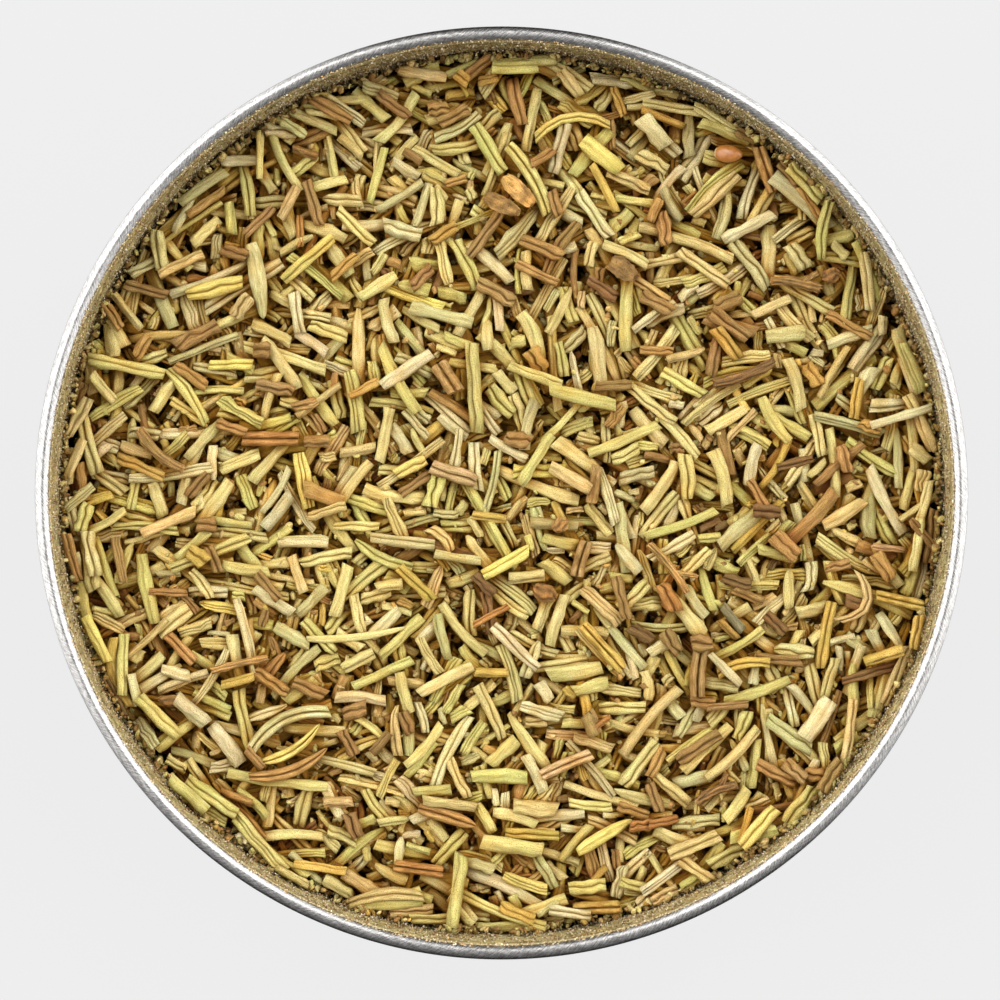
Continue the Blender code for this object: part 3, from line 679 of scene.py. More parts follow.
@dataclass(frozen=True)
class SeedFinish:
    """The smooth skin of a seed, in the paint's colour, with a soft gloss and faint mottling."""

    name: str = "seed_skin"
    rough: Pair = (0.22, 0.4)
    mottling: Pair = (2.5, 2.5)
    tints: tuple = ((0.3, (0.8, 0.72, 0.65)), (0.65, (1.12, 1.1, 1.05)))
    relief: float = 0.01 * MM
    coat: float = 0.35
    coat_rough: float = 0.2

    def build(self) -> Material:
        """Makes the material."""
        graph = Graph(self.name)
        mottle = graph.noise(graph.grain(self.mottling), detail=3.0)
        tinted = graph.ramp(mottle, *self.tints)
        graph.join(graph.multiply(graph.paint(), tinted), graph.shader.inputs["Base Color"])
        graph.roughness(mottle, *self.rough)
        graph.relief(mottle, self.relief)
        graph.fix(Coat_Weight=self.coat, Coat_Roughness=self.coat_rough)
        return graph.material


@dataclass(frozen=True)
class SteelFinish:
    """Brushed sheet steel with short slanting scratches, and herb dust where the paint says so."""

    name: str = "brushed_steel"
    steel: Triple = (0.39, 0.379, 0.367)
    dust: Triple = (0.38, 0.32, 0.17)
    scratches: Pair = (1.3, 8.0)
    scratch_turn: float = 38.0
    cross_scratches: Pair = (0.5, 4.0)
    cross_turn: float = -0.35
    powder: Pair = (5.0, 1.2)
    fray: float = 1.2
    dust_edge: Pair = (0.35, 0.65)
    rough: Pair = (0.12, 0.9)
    relief: float = 0.018 * MM

    def build(self) -> Material:
        """Makes the material: scratches turned on the grain, then dust over them by the paint's share.

        The edge of the dust is frayed by its own specks. Dust takes the metal's shine away.

        Returns:
            The material.
        """
        graph = Graph(self.name)
        scratch = graph.noise(graph.grain(self.scratches, self.scratch_turn), detail=3.0, rough=0.7)
        cross_turn = self.cross_turn * self.scratch_turn
        cross = graph.noise(graph.grain(self.cross_scratches, cross_turn), rough=0.6)
        scratch_wear_and_glint = graph.weigh(scratch, 0.7, cross, 0.3)
        # The scratches' metal is lighter and darker than the rest: wear of the brushing, and in its lighter
        # streaks a painted glint of side light caught in the scratches
        metal = graph.shades(scratch_wear_and_glint, self.steel, (0.38, 0.6), (0.5, 1.0), (0.6, 1.5))
        speck = graph.noise(graph.grain(self.powder), detail=3.0, rough=0.7)
        powder = graph.shades(speck, self.dust, (0.3, 0.45), (0.5, 1.0), (0.7, 1.7))
        frayed = graph.math("MULTIPLY", graph.math("SUBTRACT", speck, 0.5), self.fray)
        share = graph.node("ShaderNodeMapRange", interpolation_type="SMOOTHSTEP")
        share.inputs["From Min"].default_value, share.inputs["From Max"].default_value = self.dust_edge
        graph.join(graph.math("ADD", graph.paint(), frayed), share.inputs["Value"])
        dusty = share.outputs["Result"]
        graph.join(graph.blend(dusty, metal, powder), graph.shader.inputs["Base Color"])
        bare = graph.math("SUBTRACT", graph.math("MULTIPLY", dusty, -1.0), -1.0)
        graph.join(bare, graph.shader.inputs["Metallic"])
        graph.roughness(graph.math("MAXIMUM", graph.math("MULTIPLY", scratch_wear_and_glint, 0.4), dusty), *self.rough)
        graph.relief(scratch_wear_and_glint, self.relief)
        return graph.material


class Finishes:
    """Every material of the object, each made once."""

    def __init__(self) -> None:
        """Makes the materials."""
        self.leaf = PlantFinish("dry_green_leaf").build()
        self.brown = PlantFinish("dry_brown_leaf", streak_depth=0.4, speck_depth=0.65, gloss=0.2).build()
        self.bark = PlantFinish("thin_bark", streaks=(0.5, 8.0), streak_depth=0.6, gloss=0.2).build()
        self.bud = PlantFinish("wrinkled_bud", streaks=(2.5, 5.0), gloss=0.2).build()
        self.seed = SeedFinish().build()
        self.wood = PlantFinish("bare_wood", streak_depth=0.2, speck_depth=0.2).build()
        self.dust = PlantFinish("herb_dust", streaks=(3.0, 3.0), specks=(9.0, 9.0), speck_depth=0.7).build()
        self.steel = SteelFinish().build()

    def of_leaf(self, slot: Slot) -> Material:
        """The finish of a leaf in this slot."""
        return self.brown if slot is Slot.BROWN_LEAF else self.leaf


# The tin

@dataclass
class Tin:
    """A pressed tin with a foot ring, a raised base panel, a straight wall and a rim rolled outwards."""

    rim_diameter: float = 90.5 * MM
    height: float = 30.0 * MM
    sheet: float = 0.3 * MM
    curl_radius: float = 0.6 * MM
    curl_turn: float = math.radians(270.0)
    corner_radius: float = 2.85 * MM
    panel_radius: float = 34.0 * MM
    panel_raise: float = 0.6 * MM
    panel_step: float = 1.0 * MM
    middle_hole: float = 1.0 * MM
    turn_steps: int = 384
    curl_points: int = 40
    wall_points: int = 26
    corner_points: int = 14
    step_points: int = 9
    panel_points: int = 24
    edge_points: int = 7
    bare_curl: float = 0.62 * MM
    dust_edge: float = 0.1 * MM
    dust_top: float = 29.3 * MM
    dust_low: float = 18.0 * MM
    dust_steps: int = 1360
    dust_rows: int = 48
    dust_depths: Triple = (0.05, 0.045, 0.03)
    dust_limits: Pair = (0.012, 0.2)
    dust_fade: float = 1.2 * MM
    dust_back: float = 0.004 * MM
    tan_share: float = 0.15
    grey_share: float = 0.6
    dust_tint: Triple = (1.0, 1.0, 1.05)

    @property
    def curl_centre(self) -> float:
        """The radius of the circle that the rolled rim's middle follows."""
        return self.rim_diameter / 2 - self.curl_radius - self.sheet / 2

    @property
    def curl_level(self) -> float:
        """The height of the rolled rim's middle."""
        return self.height - self.curl_radius - self.sheet / 2

    @property
    def wall_radius(self) -> float:
        """The radius of the middle of the wall's sheet."""
        return self.curl_centre - self.curl_radius

    @property
    def inner_radius(self) -> float:
        """The radius inside the wall."""
        return self.wall_radius - self.sheet / 2

    def middle_line(self) -> Array:
        """The middle of the sheet, from the rolled rim's free edge down the wall to the base's middle.

        Round stretches are arcs, and the step up to the panel is half a cosine wave.

        Returns:
            Points as (radius, height).
        """
        foot = self.sheet / 2
        turn = np.linspace(math.pi - self.curl_turn, math.pi, self.curl_points)
        curl = np.stack([self.curl_centre + self.curl_radius * np.cos(turn),
                         self.curl_level + self.curl_radius * np.sin(turn)], -1)
        wall = np.linspace(self.curl_level, foot + self.corner_radius, self.wall_points)[1:-1]
        side = np.stack([np.full_like(wall, self.wall_radius), wall], -1)
        turn = np.linspace(0, -math.pi / 2, self.corner_points)
        corner = np.stack([self.wall_radius + self.corner_radius * (np.cos(turn) - 1),
                           foot + self.corner_radius * (1 + np.sin(turn))], -1)
        share = np.linspace(0, 1, self.step_points)
        step = np.stack([self.panel_radius + self.panel_step * (1 - share),
                         foot + self.panel_raise * (1 - np.cos(math.pi * share)) / 2], -1)
        rings = np.linspace(self.panel_radius, self.middle_hole, self.panel_points)[1:]
        panel = np.stack([rings, np.full_like(rings, foot + self.panel_raise)], -1)
        return np.concatenate([curl, side, corner, step, panel])

    def section(self) -> Array:
        """The outline of the sheet: the middle line moved half a sheet to each side, round at its free edge.

        Returns:
            Points as (radius, height), from the base's middle up inside, round the rim and back below.
        """
        middle = self.middle_line()
        ahead = np.gradient(middle, axis=0)
        ahead /= np.linalg.norm(ahead, axis=1)[:, None]
        aside = np.stack([-ahead[:, 1], ahead[:, 0]], -1) * self.sheet / 2
        around = np.linspace(0, math.pi, self.edge_points)[1:-1, None]
        edge = middle[0] - aside[0] * np.cos(around) - ahead[0] * self.sheet / 2 * np.sin(around)
        return np.concatenate([(middle - aside)[::-1], edge, middle + aside])

    def build_shell(self, finishes: Finishes) -> Piece:
        """Turns the section round the axis: each of its points becomes a ring.

        The paint is the share of dust: full on the wall's inside, none over the rim.

        Args:
            finishes: The object's materials.

        Returns:
            The tin.
        """
        section = self.section()
        length = np.concatenate([[0], np.cumsum(np.linalg.norm(np.diff(section, axis=0), axis=1))])
        turn = np.linspace(0, 2 * math.pi, self.turn_steps + 1)
        radius, level = section[:, :1], section[:, 1:]
        rings = round_axis(radius, turn[:-1], level)[None]
        grain = paired(self.rim_diameter / 2 * turn, length[:, None])[None] / MM
        within = np.clip((self.curl_centre - self.bare_curl - radius) / self.dust_edge, 0, 1)
        inside = (np.arange(len(section)) < len(section) / 2)[:, None]
        share = within * inside * (level > self.sheet + self.panel_raise + self.dust_edge)
        paint = np.broadcast_to(share[None, ..., None], rings.shape)
        shape = skin(rings, paint, np.zeros((1, 2, 3)), grain)
        return shape.show("tin_shell", finishes.steel, Slot.TIN, "tin_body")

    def build_dust_coat(self, finishes: Finishes, rng: Draws) -> Piece:
        """Herb dust that clings inside the wall: a thin band whose face is lumpy.

        Each upright section is a front of points with a back behind them, and the front stands off the wall
        by a floor plus soft noise, fading out towards the rim.

        Args:
            finishes: The object's materials.
            rng: Where the lumps are drawn from.

        Returns:
            The coat.
        """
        turn = np.linspace(0, 2 * math.pi, self.dust_steps + 1)
        level = np.linspace(self.dust_top, self.dust_low, self.dust_rows)
        lumps = soft_noise(rng, (self.dust_steps, self.dust_rows), (1.0, 0.8))
        heaps = soft_noise(rng, (self.dust_steps, self.dust_rows), (12.0, 9.0))
        floor, lump_depth, heap_depth = self.dust_depths
        depth = np.clip(floor + lump_depth * lumps + heap_depth * heaps, *self.dust_limits) * MM
        fade = np.clip((self.dust_top - level) / self.dust_fade, 0.1, 1.0)
        front = self.inner_radius - depth * fade
        back = np.full((self.dust_steps, 2), self.inner_radius - self.dust_back)
        radius = np.concatenate([front, back], 1)
        height = np.concatenate([level, [self.dust_low, self.dust_top]])
        rings = round_axis(radius, turn[:-1, None], height)[None]
        climb = np.concatenate([height, height[:1]])
        grain = paired(self.inner_radius * turn[:, None], climb[None, :])[None] / MM
        dust = self.tan_share * Tone.TAN.albedo + self.grey_share * Tone.GREY_GREEN.albedo
        dust = dust * np.array(self.dust_tint)
        # Painted light: the dust is lighter where its lumps stand further out from the wall
        bright = np.clip(0.85 + 0.2 * lumps, 0.4, 1.5)
        bright = np.concatenate([bright, bright[:, -2:]], 1)
        paint = (bright[..., None] * dust)[None]
        shape = skin(rings, paint, None, grain, closed=True)
        return shape.show("wall_dust", finishes.dust, Slot.DRIED_LEAF)


# The leaf bed

@dataclass
class Pile:
    """Leaves dropped one by one on a height map. The draws and their order are the solid bed's own."""

    inner_radius: float
    seed: int = 7
    cell: float = 0.125 * MM
    half_map: float = 44.5 * MM
    base: float = 17.0 * MM
    gap: float = 0.3 * MM
    steepest: float = 0.5
    slope_cost: float = 1.2 * MM
    sink: float = 0.05 * MM
    off_limits: float = 1.0
    edge_gap: float = 0.25 * MM
    drop_gap: float = 0.4 * MM
    wall_gap: float = 0.35 * MM
    wall_band: Pair = (0.5 * MM, 2.6 * MM)
    wall_pull: float = 0.3
    station_gap: float = 0.8 * MM
    rows: int = 3
    shown_fineness: float = 0.4
    shown_rows: int = 5
    fine_station: float = 0.15 * MM
    fine_rows: int = 11
    lift: float = 0.42 * MM
    margin: float = 0.3 * MM
    photo_centre: Pair = (501.5, 493.0)
    pixel: float = MM / 10.09
    main_leaves: int = 4400
    filling_bits: int = 600
    last_leaves: int = 300
    wall_leaves: int = 120
    leaf_tries: int = 20
    bit_tries: int = 40
    wall_tries: int = 12
    thicknesses: Pair = (0.5, 0.68)
    shown_thicknesses: Pair = (0.5, 0.62)
    wall_thickness: float = 0.58
    bow_spread: float = 0.03
    tip_share: float = 0.25
    crest_cells: int = 8
    look_out: tuple = (0.35 * MM, 0.8 * MM, 1.5 * MM)
    look_round: int = 8
    height: Array = field(init=False)
    owner: Array = field(init=False)
    crests: Array = field(init=False)
    lays: list[Lay] = field(init=False, default_factory=list)
    bits: set[int] = field(init=False, default_factory=set)

    def __post_init__(self) -> None:
        """Starts with a level floor under the leaves."""
        self.height = np.full((self.cells, self.cells), self.base)
        self.owner = np.full((self.cells, self.cells), -1)

    @property
    def cells(self) -> int:
        """How many cells the map has along each side."""
        return int(2 * self.half_map / self.cell) + 1

    @property
    def bed_radius(self) -> float:
        """How far from the axis the bed reaches."""
        return self.inner_radius - self.gap

    @property
    def leaf_reach(self) -> float:
        """How far from the axis a leaf of the bed reaches."""
        return self.bed_radius - self.edge_gap

    def level_at(self, place: Array) -> Array:
        """The level of the map at these places, with X and Y last."""
        cell = ((place + self.half_map) / self.cell + 0.5).astype(int).clip(0, self.cells - 1)
        return self.height[cell[..., 0], cell[..., 1]]

    @staticmethod
    def leant_level(rest: Array, across: Array, roll: Array) -> Array:
        """The level that pieces come to when they lean by their roll."""
        return (rest - roll[:, None, None] * across[None, None, :]).max((1, 2))

    def settle(self, places: Array, headings: Array, length: float, width: float, bow: float,
               station_gap: float, rows: int) -> tuple:
        """Finds how a piece would rest at each place.

        The piece lies on the highest points under it, one on each side of its middle, as a straight edge
        would: the line through a left and a right point that passes highest over the middle carries it.
        Across, it leans on the higher side.

        Args:
            places: Where its middle would be, as (tries, 2).
            headings: The way it would point, in radians.
            length: Its length.
            width: Its width.
            bow: How far its middle stands off its chord.
            station_gap: The distance between the points looked at along it.
            rows: How many rows of points are looked at across it.

        Returns:
            The levels left under it, the rows' places, its pitch, its roll and how far out it reaches.
        """
        count = 2 * max(3, int(length / station_gap)) + 1
        middle = count // 2
        tries = len(headings)
        along = np.stack([np.cos(headings), np.sin(headings)], -1)
        across = np.stack([-along[:, 1], along[:, 0]], -1)
        s = np.linspace(-0.5, 0.5, count) * length
        t = np.linspace(-ROW_REACH, ROW_REACH, rows) * width
        side = t[None, :] + bow_offset(s, length, bow)[:, None]
        place = (places[:, None, None, :] + s[None, :, None, None] * along[:, None, None, :]
                 + side[None, :, :, None] * across[:, None, None, :])
        reach = np.hypot(place[..., 0], place[..., 1]).max((1, 2))
        under = self.level_at(place)
        profile = under.max(2)
        left, right = profile[:, :middle, None], profile[:, None, middle + 1:]
        s_left, s_right = s[None, :middle, None], s[None, None, middle + 1:]
        rise = (right - left) / (s_right - s_left)
        over_middle = (left - rise * s_left).reshape(tries, -1)
        carrying = over_middle.argmax(1)
        pitch = rise.reshape(tries, -1)[np.arange(tries), carrying].clip(-self.steepest, self.steepest)
        rest = under - pitch[:, None, None] * s[None, :, None]
        sides = rest.max(1)
        saddle = np.where(sides[:, rows // 2] >= 0.5 * (sides[:, 0] + sides[:, -1]), 0.5, 1.0)
        steepest = 0.8 * self.steepest
        roll = (saddle * (sides[:, -1] - sides[:, 0]) / (t[-1] - t[0])).clip(-steepest, steepest)
        return rest, t, pitch, roll, reach

    def stamp(self, lay: Lay) -> None:
        """Raises the map by one piece, crowned across, marks where it is on top and adds it to the list."""
        span = 0.5 * math.hypot(lay.length, lay.width) + abs(lay.bow) + self.cell
        x_low = max(0, int((lay.x - span + self.half_map) / self.cell))
        x_high = min(self.cells, int((lay.x + span + self.half_map) / self.cell) + 2)
        y_low = max(0, int((lay.y - span + self.half_map) / self.cell))
        y_high = min(self.cells, int((lay.y + span + self.half_map) / self.cell) + 2)
        dx = (np.arange(x_low, x_high) * self.cell - self.half_map - lay.x)[:, None]
        dy = (np.arange(y_low, y_high) * self.cell - self.half_map - lay.y)[None, :]
        cos, sin = math.cos(lay.heading), math.sin(lay.heading)
        u = dx * cos + dy * sin
        v = dy * cos - dx * sin - bow_offset(u, lay.length, lay.bow)
        inside = (np.abs(u) <= lay.length / 2) & (np.abs(v) <= lay.width / 2)
        crown = lay.thickness * (1 - 0.5 * (2 * v / lay.width) ** 2)
        top = lay.z + lay.pitch * u + lay.roll * v + crown
        here = self.height[x_low:x_high, y_low:y_high]
        raised = inside & (top > here)
        here[raised] = top[raised]
        self.owner[x_low:x_high, y_low:y_high][raised] = len(self.lays)
        self.lays.append(lay)

    def lay_best(self, places: Array, headings: Array, size: tuple, limit: float, pull: float = 0.0) -> None:
        """Lays a piece at the lowest and flattest of some places, unless it reaches too far out there.

        Args:
            places: Where its middle could be, as (tries, 2).
            headings: The way it would point, in radians.
            size: Its length, width, thickness and bow, and whether it has a tip.
            limit: How far out it may reach.
            pull: How much lower each unit of reach makes a place count.
        """
        length, width, _, bow, _ = size
        rest, t, pitch, roll, reach = self.settle(places, headings, length, width, bow,
                                                  self.station_gap, self.rows)
        level = self.leant_level(rest, t, roll)
        score = level + self.slope_cost * np.abs(pitch) + self.off_limits * (reach > limit) - pull * reach
        best = score.argmin()
        if reach[best] <= limit:
            self.stamp(Lay(*places[best], level[best] - self.sink, headings[best], pitch[best], roll[best],
                           *size))

    def drop(self, rng: Draws, count: int, tries: int, draw_size: Callable) -> None:
        """Drops pieces one by one, each at the lowest and flattest of a few random places.

        Args:
            rng: Where everything is drawn from.
            count: How many pieces are dropped.
            tries: How many places each has to choose from.
            draw_size: Gives a length and a width.
        """
        for _ in range(count):
            length, width = draw_size(rng)
            thickness = width * rng.uniform(*self.thicknesses)
            bow = rng.normal(0, self.bow_spread) * length
            tip = bool(rng.random() < self.tip_share)
            distance = (self.inner_radius - self.drop_gap) * np.sqrt(rng.random(tries))
            bearing = rng.random(tries) * 2 * np.pi
            headings = rng.random(tries) * np.pi
            size = (length, width, thickness, bow, tip)
            self.lay_best(round_axis(distance, bearing), headings, size, self.leaf_reach)

    @staticmethod
    def draw_leaf(rng: Draws) -> Pair:
        """The length and width of a cut leaf: a long tail of lengths, and widths round one size."""
        length = np.clip(rng.lognormal(math.log(4.2 * MM), 0.34), 1.4 * MM, 10.0 * MM)
        width = np.clip(rng.normal(1.15 * MM, 0.17 * MM), 0.7 * MM, 1.6 * MM)
        return length, width

    @staticmethod
    def draw_bit(rng: Draws) -> Pair:
        """The length and width of a small bit, which fills a gap."""
        return rng.uniform(1.0 * MM, 2.6 * MM), rng.uniform(0.6 * MM, 1.0 * MM)

    def fill(self) -> None:
        """Drops every leaf of the bed."""
        rng = np.random.default_rng(self.seed)
        self.drop(rng, self.main_leaves, self.leaf_tries, self.draw_leaf)
        first_bit = len(self.lays)
        self.drop(rng, self.filling_bits, self.bit_tries, self.draw_bit)
        self.bits = set(range(first_bit, len(self.lays)))
        self.drop(rng, self.last_leaves, self.leaf_tries, self.draw_leaf)

    def place_of(self, pixel: Pair, turn: float, bow: float) -> Pair:
        """Where a piece's middle goes, so that its bowed middle line shows at a pixel."""
        x = (pixel[0] - self.photo_centre[0]) * self.pixel
        y = (self.photo_centre[1] - pixel[1]) * self.pixel
        return x + math.sin(turn) * (0.5 * bow), y - math.cos(turn) * (0.5 * bow)

    def rest_inside(self, pixel: Pair, turn: float, settings: tuple) -> tuple:
        """Finds how a piece rests at its pixel's place, pulled towards the axis until it ends in the bed.

        Args:
            pixel: The pixel.
            turn: The piece's heading in radians.
            settings: What settling takes: length, width, bow, and the gap and rows of the points looked at.

        Returns:
            Its place, the levels left under it, the rows' places, its pitch and its roll.
        """
        place = np.array([self.place_of(pixel, turn, settings[2])])
        headings = np.array([turn])
        reach = self.settle(place, headings, *settings)[-1][0]
        inwards = max(0.0, reach - self.bed_radius) / math.hypot(*place[0])
        place = place * (1 - inwards)
        return place[0], *self.settle(place, headings, *settings)[:-1]

    def lay_standout(self, piece: Standout) -> Lay:
        """Lays a piece that stands out flat where its solid is, clear of the leaves under it."""
        length, width, bow = piece.length * MM, piece.width * MM, piece.bow * MM
        turn = math.radians(piece.heading)
        grown = (length + 2 * self.margin, (width + 2 * self.margin) / (2 * ROW_REACH), bow,
                 self.fine_station, self.fine_rows)
        place, rest, _, pitch, _ = self.rest_inside(piece.pixel, turn, grown)
        lay = Lay(*place, rest.max() + self.lift, turn, pitch[0], 0.0, length, width,
                  width * piece.form.thickness, bow, piece.form is Form.TIP)
        self.stamp(lay)
        return lay

    def lay_shown(self, row: tuple, rng: Draws) -> Lay:
        """Lays a leaf that shows by its colour, one row of the table, on top of the others."""
        across, down, length, width, heading, *bows = row
        length, width, bow = length * MM, width * MM, sum(bows) * MM
        turn = math.radians(heading)
        settings = (length, width, bow, self.shown_fineness * self.station_gap, self.shown_rows)
        place, rest, t, pitch, roll = self.rest_inside((across, down), turn, settings)
        level = self.leant_level(rest, t, roll)[0]
        lay = Lay(*place, level - self.sink, turn, pitch[0], roll[0], length, width,
                  width * rng.uniform(*self.shown_thicknesses), bow, False)
        self.stamp(lay)
        return lay

    def line_wall(self, rng: Draws) -> None:
        """Drops leaves beside the wall, most of them lying along it, and each as close to it as it goes.

        A leaf's bow is that of an arc of the wall as long as the leaf.
        """
        limit = self.inner_radius - self.wall_gap
        tries = self.wall_tries
        for _ in range(self.wall_leaves):
            length, width = self.draw_leaf(rng)
            bearing = rng.random(tries) * 2 * math.pi
            distance = limit - rng.uniform(*self.wall_band, tries)
            headings = bearing + math.pi / 2 + rng.normal(0, 0.5, tries)
            bow = -length ** 2 / 8 / self.inner_radius
            size = (length, width, self.wall_thickness * width, bow, False)
            self.lay_best(round_axis(distance, bearing), headings, size, limit, self.wall_pull)

    def mark_crests(self) -> None:
        """Keeps the highest level in each square of 1 mm, evened out over its neighbours."""
        block = self.crest_cells
        count = math.ceil(self.cells / block)
        padded = np.full((count * block, count * block), self.base)
        padded[:self.cells, :self.cells] = self.height
        highest = padded.reshape(count, block, count, block).max((1, 3))
        shifts = [(down, right) for down in (-1, 0, 1) for right in (-1, 0, 1)]
        self.crests = np.mean([np.roll(highest, shift, (0, 1)) for shift in shifts], 0)

    def enclosure(self, place: Array) -> Array:
        """How far the pile stands over points: the mean rise towards places round each, from 0 to 1.

        Args:
            place: The points, with X, Y and Z last.

        Returns:
            The mean of the rises, each the height over the distance, kept between 0 and 1.
        """
        total = np.zeros(place.shape[:-1])
        for radius in self.look_out:
            for turn in np.arange(self.look_round) * math.pi / (self.look_round / 2):
                aside = place[..., :2] + radius * np.array([math.cos(turn), math.sin(turn)])
                rise = (self.level_at(aside) - place[..., 2]) / radius
                total += rise.clip(0, 1)
        return total / (len(self.look_out) * self.look_round)

    def crest(self, x: Array, y: Array) -> Array:
        """The level of the pile's crests round these places."""
        block = self.crest_cells * self.cell
        column, row = (((place + self.half_map) / block).astype(int) for place in (x, y))
        return self.crests[column.clip(0, len(self.crests) - 1), row.clip(0, len(self.crests) - 1)]

    def visible(self) -> Array:
        """How many cells each piece is on top of."""
        return np.bincount(self.owner[self.owner >= 0], minlength=len(self.lays))


@dataclass
class CutLeaf:
    """The form of a cut rosemary leaf, for many leaves at once.

    A leaf is a row of rings along its length. Seen from below it has two rolled edges with a groove between
    them, painted dark as shade, and from above it is a low ridge. A cut end is blunt and slanting, a tip runs
    out.
    """

    pile: Pile
    # How shut in a point is sets the painted shade in the gaps between leaves
    open_share: float = 0.06
    shut_share: float = 0.5
    shut_shade: float = 0.52
    blunt_tips: float = 0.6
    stations: tuple = (-0.5, -0.33, -0.12, 0.12, 0.34, 0.5)
    cut_widths: tuple = (0.93, 1.0, 1.0, 1.0, 1.0, 0.92)
    tip_widths: tuple = (0.92, 1.0, 1.0, 0.96, 0.78, 0.32)
    tip_thicknesses: tuple = (0.95, 1.0, 1.0, 0.97, 0.85, 0.45)
    unevenness: float = 0.085
    wander: float = 0.14
    slant: float = 0.22
    lean: float = math.radians(14.0)
    rolled_over: float = 0.25
    rolled_lean: float = math.radians(55.0)
    rolled_shares: Pair = (0.5, 1.3)
    twist: float = math.radians(10.0)
    steepest_slant: float = 0.7
    sag: float = 0.015
    ring_shade: float = 0.06
    shades: Pair = (0.2, 1.3)
    end_shades: Pair = (0.7, 1.05)
    grain_round: float = 2.6

    def leant(self, v: Array, w: Array, thickness: Array, rng: Draws) -> tuple:
        """Leans each leaf round its own axis, by an angle that twists along it, and sets it down at 0.

        Args:
            v: The points' places across.
            w: Their places up.
            thickness: The leaves' thicknesses.
            rng: Where the angles are drawn from.

        Returns:
            The places across and up.
        """
        count = len(v)
        lean = self.lean * rng.standard_normal(count)
        over = rng.random(count) < self.rolled_over
        rolled = np.sign(lean) * self.rolled_lean * rng.uniform(*self.rolled_shares, count)
        lean = np.where(over, rolled, lean)
        twist = self.twist * rng.standard_normal(count)
        angle = (lean[:, None] + twist[:, None] * np.array(self.stations))[..., None]
        cos, sin = np.cos(angle), np.sin(angle)
        w = w - thickness / 2
        v, w = v * cos - w * sin, v * sin + w * cos
        return v, w - w.min((1, 2), keepdims=True)

    def shape(self, lays: list[Lay], tones: Array, sides: list[Side], rng: Draws) -> Shape:
        """Makes the leaves.

        A point's place along is its station times the length, with the end rings slanting. Across and up it
        is the section's point times the half width and the thickness, leant round the leaf's own axis, then
        moved by the bow. The whole is put where the leaf lies, tilted along and across.

        Args:
            lays: Where the leaves lie.
            tones: Their colours, as (leaves, 3).
            sides: The side that each shows.
            rng: Where their small differences are drawn from.

        Returns:
            All the leaves as one shape.
        """
        count, rings = len(lays), len(self.stations)
        lay = np.array(lays, float).T[..., None, None]
        x, y, z, heading, pitch, roll, length, width, thickness, bow, tip = lay
        section = np.array([side.value for side in sides], float)
        points = section.shape[1]
        is_tip = tip[:, 0] * rng.random((count, 1)) > self.blunt_tips
        widths = np.where(is_tip, self.tip_widths, self.cut_widths)
        widths = widths * (1 + self.unevenness * rng.standard_normal((count, rings)))
        heights = np.where(is_tip, self.tip_thicknesses, 1.0)
        uneven = 1 + self.unevenness * rng.standard_normal((count, rings, points, 2))
        wander = self.wander * rng.standard_normal((count, rings, 1)) * (1 - section[:, None, :, 0] ** 2)
        v = (section[:, None, :, 0] + wander) * (widths[..., None] * width / 2) * uneven[..., 0]
        w = section[:, None, :, 1] * (heights[..., None] * thickness) * uneven[..., 1]
        v, w = self.leant(v, w, thickness, rng)
        u = np.array(self.stations)[None, :, None] * length
        ends = np.zeros((count, rings))
        ends[:, 0] = self.slant * rng.standard_normal(count)
        ends[:, -1] = self.slant * rng.standard_normal(count)
        u = u + ends[..., None].clip(-self.steepest_slant, self.steepest_slant) * v
        sag = self.sag * length * rng.standard_normal((count, 1, 1))
        v = v + bow_offset(u, length, bow)
        up = w + sag * (2 * u / length) ** 2
        cos, sin = np.cos(heading), np.sin(heading)
        place = np.stack([x + u * cos - v * sin, y + u * sin + v * cos, z + pitch * u + roll * v + up], -1)
        # Painted shade from the cross-section: darker in the grooves and at the edges, lighter on the rolled
        # tops, with a random shade for each ring
        bright = section[:, None, :, 2] * (1 + self.ring_shade * rng.standard_normal((count, rings, 1)))
        # Painted shade: points shut in by the pile round them are darkened and browned, as where little light
        # gets between the leaves
        light = 1 - self.shut_shade * self.shut_in(place) ** 2
        paint = tones[:, None, None, :] * bright.clip(*self.shades)[..., None] ** BROWNING
        paint = paint * light[..., None] ** GAP_SHADE_BROWNING
        ends = tones[:, None, :] * rng.uniform(*self.end_shades, (count, 2, 1)) ** BROWNING
        return skin(place, paint, ends, self.grain(length, width, rng))

    def shut_in(self, place: Array) -> Array:
        """How shut in points are by the pile round them: 0 in the open, 1 in a narrow gap."""
        share = (self.pile.enclosure(place) - self.open_share) / (self.shut_share - self.open_share)
        return share.clip(0, 1)

    def grain(self, length: Array, width: Array, rng: Draws) -> Array:
        """Where each point is on its leaf, in millimetres, from a start of the leaf's own."""
        points = len(Side.UNDER.value)
        along = np.array(self.stations)[None, :, None] * length / MM
        around = np.linspace(0, self.grain_round, points + 1)[None, None, :] * width / MM
        start = rng.uniform(0, GRAIN_FIELD, (len(length), 1, 1, 2))
        return paired(along, around) + start


